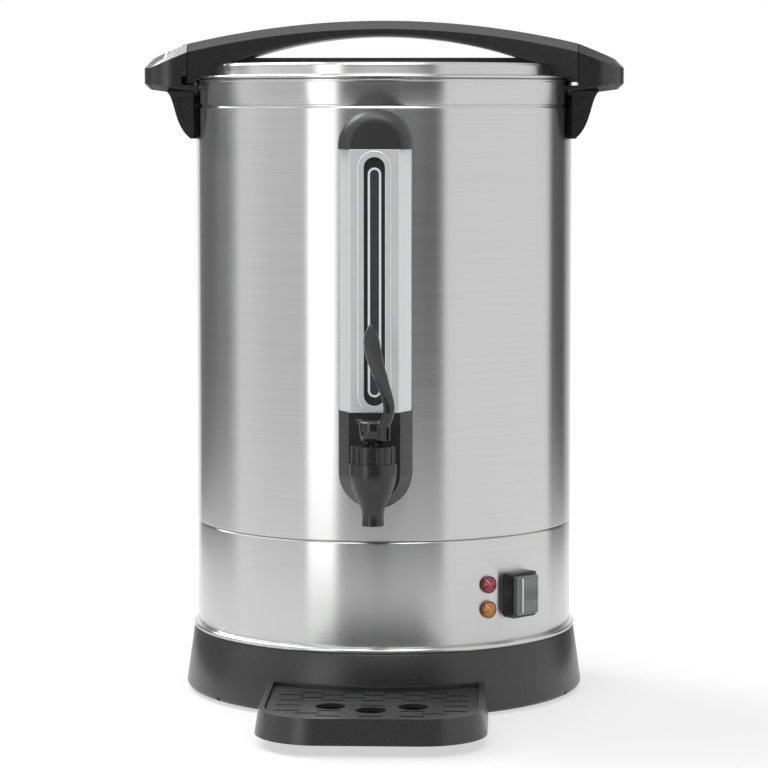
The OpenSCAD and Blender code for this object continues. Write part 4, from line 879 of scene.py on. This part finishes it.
lever = moulded("tap_lever", "tap_spoon", 0)
bpy.ops.object.mode_set(mode="EDIT")
bpy.ops.mesh.select_mode(type="EDGE")
bpy.ops.mesh.select_all(action="DESELECT")
bpy.ops.mesh.edges_select_sharp(sharpness=math.radians(SPOON_SHARP))
bpy.ops.object.mode_set(mode="OBJECT")
for face in lever.data.polygons:
    face.select = False
for vertex in lever.data.vertices:
    vertex.select = vertex.select and vertex.co.z > SPOON_FROM * MM
for edge in lever.data.edges:
    edge.select = edge.select and all(lever.data.vertices[i].select for i in edge.vertices)
bpy.ops.object.mode_set(mode="EDIT")
bpy.ops.mesh.duplicate()
bpy.ops.mesh.separate(type="SELECTED")
bpy.ops.object.mode_set(mode="OBJECT")
bead = [piece for piece in bpy.context.selected_objects if piece != lever][0]
pick(bead)
bpy.ops.object.convert(target="CURVE")
bead.data.bevel_depth = SPOON_BEAD * MM
bead.data.use_fill_caps = True
bpy.ops.object.convert(target="MESH")
bead.name = "spoon_bead"
bpy.ops.object.shade_smooth()
print("lowest point of the bead in mm:", round(min(point.co.z for point in bead.data.vertices) / MM, 1))
# The bead is pale as a painted highlight along the spoon's edge
dress(bead, "lever", "tap_plastic", edge_highlight_nylon)

# %% Lever
LEVER_VOXEL = 0.3
LEVER_ROUNDS = 5

apply_modifier(lever, "REMESH", mode="VOXEL", voxel_size=LEVER_VOXEL * MM)
apply_modifier(lever, "SMOOTH", factor=0.5, iterations=LEVER_ROUNDS)
pick(lever)
bpy.ops.object.shade_smooth()
dress(lever, "lever", "tap_plastic", lever_nylon, "tap_lever")

# %% [markdown]
# ## The drip tray
# The tray and its grid are black mouldings. The corners inside the rim, at the back, are well rounded so
# that they can be wiped. The grid has the same round corners, or it wouldn't fit.

# %% Tray
TRAY_BACK = (-146, -136)
TRAY_SIDE = (71, 78)
TRAY_RIM = 1
TRAY_ROUND = 7
TRAY_EDGE = 0.8
GRILLE_EDGE = 0.3

tray_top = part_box("drip_tray")[1].z / MM


def inner_corner(point):
    """Tells the upright edges in the back corners, inside the rim."""
    at_back = TRAY_BACK[0] < point.y < TRAY_BACK[1]
    at_side = TRAY_SIDE[0] < abs(point.x) < TRAY_SIDE[1]
    return at_back and at_side and point.z < tray_top - TRAY_RIM


tray = moulded("drip_tray", "tray_bowl", TRAY_EDGE, rounded=[(TRAY_ROUND, inner_corner)])
dress(tray, "tray", "black_plastic", satin_abs, "drip_tray")
grille = moulded("drip_grid", "tray_grille", GRILLE_EDGE, segments=2, rounded=[(TRAY_ROUND, inner_corner)])
dress(grille, "grid", "black_plastic", satin_abs, "drip_grid")

# %% [markdown]
# ## Switch and lamps
# The switch sits in a black frame under a hood of soft clear plastic, which keeps water out. The hood has
# one sharp ridge near its left side and fine upright ribs beside it. One rib is a block, and an array
# repeats it, because evenly spaced copies are quicker to change by their step than by hand.

# %% Switch
FRAME_EDGE = 0.9
SWITCH_EDGE = 0.5

# Soft clear vinyl that has gone a little grey, so that the rocker only shows as a darker tone
hood_vinyl = grained("clear_grey_vinyl", ("#6f7071", "#7d7e7f"), 6, 0.16, 0.01, {
    "IOR": 1.52, "Transmission Weight": 0.4})

surround = moulded("switch_frame", "switch_surround", FRAME_EDGE)
dress(surround, "urn", "switch_plastic", switch_abs, "switch_frame")
key = moulded("switch_rocker", "switch_key", SWITCH_EDGE)
dress(key, "rocker", "switch_plastic", rocker_abs, "switch_rocker")
hood = moulded("switch_cover", "switch_hood", SWITCH_EDGE)
dress(hood, "urn", "clear_plastic", hood_vinyl, "switch_cover")

# %% Ribs and edge of the hood
HOOD_OUT = 11.9
RIB = (0.7, 8.5, 0.3)
RIB_STEP = 1.7
RIB_COUNT = 9
RIB_UP = 8.4
FIRST_RIB = -3.7
RIB_EDGE = 0.12
RIDGE = (1.2, 26, 0.8)
RIDGE_AT = -5.6
HOOD_SIZE = (21.6, 28.2)
HOOD_ROUND = 1.4
HOOD_LINE = 0.5
HOOD_LINE_T = 0.25
HOOD_LINE_SUNK = 0.05

# The same vinyl, paler at the ribs and along the outer edges as painted highlights
rib_highlight_vinyl = grained("vinyl_ribs_painted_highlight", ("#8f9091", "#a3a4a5"), 4, 0.2, 0.01, {
    "IOR": 1.52, "Transmission Weight": 0.2})
# The same vinyl at the ridge, near white as a painted highlight
ridge_highlight_vinyl = grained("vinyl_ridge_painted_highlight", ("#d3d4d5", "#e6e7e7"), 4, 0.2, 0.01, {"IOR": 1.52})

ribs = (
    ("hood_ridge", RIDGE, RIDGE_AT, 0, 1, ridge_highlight_vinyl),
    ("upper_ribs", RIB, FIRST_RIB, RIB_UP, RIB_COUNT, rib_highlight_vinyl),
    ("lower_ribs", RIB, FIRST_RIB, -RIB_UP, RIB_COUNT, rib_highlight_vinyl),
)
for name, size, start, up, count, finish in ribs:
    rib = block(name, size, (start, up, 0))
    apply_modifier(rib, "ARRAY", count=count, use_relative_offset=False, use_constant_offset=True,
                   constant_offset_displace=(RIB_STEP * MM, 0, 0))
    apply_modifier(rib, "BEVEL", width=RIB_EDGE * MM, segments=2)
    aim(rib, SWITCH_AZIMUTH, body_r + HOOD_OUT, PANEL_Z)
    soften(rib)
    dress(rib, "urn", "clear_plastic", finish)
# The hood's outline is a thin pale sheet, a painted highlight along its edges
edging = sheet("hood_edge", HOOD_SIZE, HOOD_ROUND, HOOD_LINE, HOOD_LINE_T)
aim(edging, SWITCH_AZIMUTH, body_r + HOOD_OUT - HOOD_LINE_SUNK, PANEL_Z)
dress(edging, "urn", "clear_plastic", rib_highlight_vinyl)

# %% [markdown]
# A lamp is a tinted lens with a plain rim and rings moulded into its dome, which spread the light of the
# small bulb. It is spun flat and aimed, with its body behind it through the skirt.

# %% Lamps
LAMP_AZIMUTH = 34.5
LAMP_R = 6.5
LAMP_BODY_R = 5
LAMP_BACK = -16
LAMP_SPIN = 64
LENS_FOOT = 0.3
LENS_SIDE = 2.0
# The lens's rings from its rim to its middle, as radius and height
LENS_RINGS = [(5.2, 2.4), (4.6, 2.2), (4.2, 2.8), (3.6, 2.6), (3.2, 3.2), (2.6, 3.0), (2.2, 3.5), (1.6, 3.3),
              (1.2, 3.7), (0, 3.8)]
RIM_IN = 5.5
RIM_FOOT = 0.15
RIM_SIDE = 1.4
RIM_ROUND = 0.6
RIM_MID = 1.9

lens_line = [(0, LAMP_BACK), (LAMP_BODY_R, LAMP_BACK), (LAMP_BODY_R, LENS_FOOT), (RIM_IN, LENS_FOOT),
             (RIM_IN, LENS_SIDE), *LENS_RINGS]
rim_line = [(RIM_IN, RIM_FOOT), (LAMP_R, RIM_FOOT), (LAMP_R, RIM_SIDE),
            *arc((LAMP_R - RIM_ROUND, RIM_MID), RIM_ROUND, 0, 150, 6), (RIM_IN, RIM_MID)]
for colour, finish, rim_shade_finish in (("red", red_pc, red_rim_shade_pc), ("amber", amber_pc, amber_rim_shade_pc)):
    lo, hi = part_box(f"lamp_{colour}")
    lens = spun(f"{colour}_lens", lens_line, steps=LAMP_SPIN)
    rim = spun(f"{colour}_rim", rim_line, steps=LAMP_SPIN)
    for piece in (lens, rim):
        aim(piece, LAMP_AZIMUTH, body_r, (lo.z + hi.z) / 2 / MM)
    dress(lens, "urn", f"{colour}_lens", finish, f"lamp_{colour}")
    # Each rim gets the darker copy of its lens's plastic, as painted shade
    dress(rim, "urn", f"{colour}_lens", rim_shade_finish)

# %% [markdown]
# ## Parts inside, behind and below
# The percolator set stands in the tank and shows when the lid lifts. It is drawn sheet, so its copies are
# shaded smooth with eased edges. The tap's stem, shank and pin, the cord's gland, the rubber ring under the
# foot and the glass tube are treated alike.

# %% Percolator, tap parts, gland, foot ring and tube
EASED = {
    "percolator_tube": ("fountain_tube", "urn", "stainless", drawn_stainless, 0.25),
    "coffee_basket": ("basket_drum", "urn", "stainless", drawn_stainless, 0.25),
    "basket_spreader": ("basket_cover", "urn", "stainless", drawn_stainless, 0.25),
    "tap_stem": ("valve_stem", "stem", "tap_plastic", tap_nylon, 0.3),
    "tap_shank": ("tap_neck", "urn", "tap_plastic", tap_nylon, 0.3),
    "lever_pin": ("lever_axle", "lever", "stainless", lever_nylon, 0.2),
    "cord_gland": ("gland_moulding", "urn", "black_plastic", satin_abs, 0.6),
    "foot_ring": ("rubber_ring", "urn", "black_rubber", black_rubber, 0.6),
    "sight_tube": ("glass_tube", "urn", "sight_glass", glass, 0.2),
}
for node, (name, body, slot, finish, edge) in EASED.items():
    dress(moulded(node, name, edge), body, slot, finish, node)

# %% [markdown]
# The other nodes stay as the frame has them. They are screws, nuts, seals, the heater, the wiring and the
# strip behind the gauge's slot. A true finish is all that they need.

# %% Finishes of the other nodes
NODE_FINISHES = {
    black_rubber: ("tube_seals",),
    black_acrylic: ("gauge_scale",),
    zinc_steel: ("base_plate", "base_screws", "plate_nuts", "cap_screw", "tap_nut", "lid_screws",
                 "handle_screws"),
    drawn_stainless: ("heating_element",),
    cast_aluminium: ("heat_plate",),
    pale_silicone: ("seat_cup", "tap_seal"),
    grey_nylon: ("gauge_tee",),
    brown_phenolic: ("control_thermostat",),
    ivory_melamine: ("boil_dry_cutout", "terminal_block", "lamp_nuts"),
    red_sleeve: ("wiring",),
}
for finish, names in NODE_FINISHES.items():
    for name in names:
        nodes[name].data.materials.clear()
        nodes[name].data.materials.append(finish)
print("nodes kept as they are:", sum(len(names) for names in NODE_FINISHES.values()))
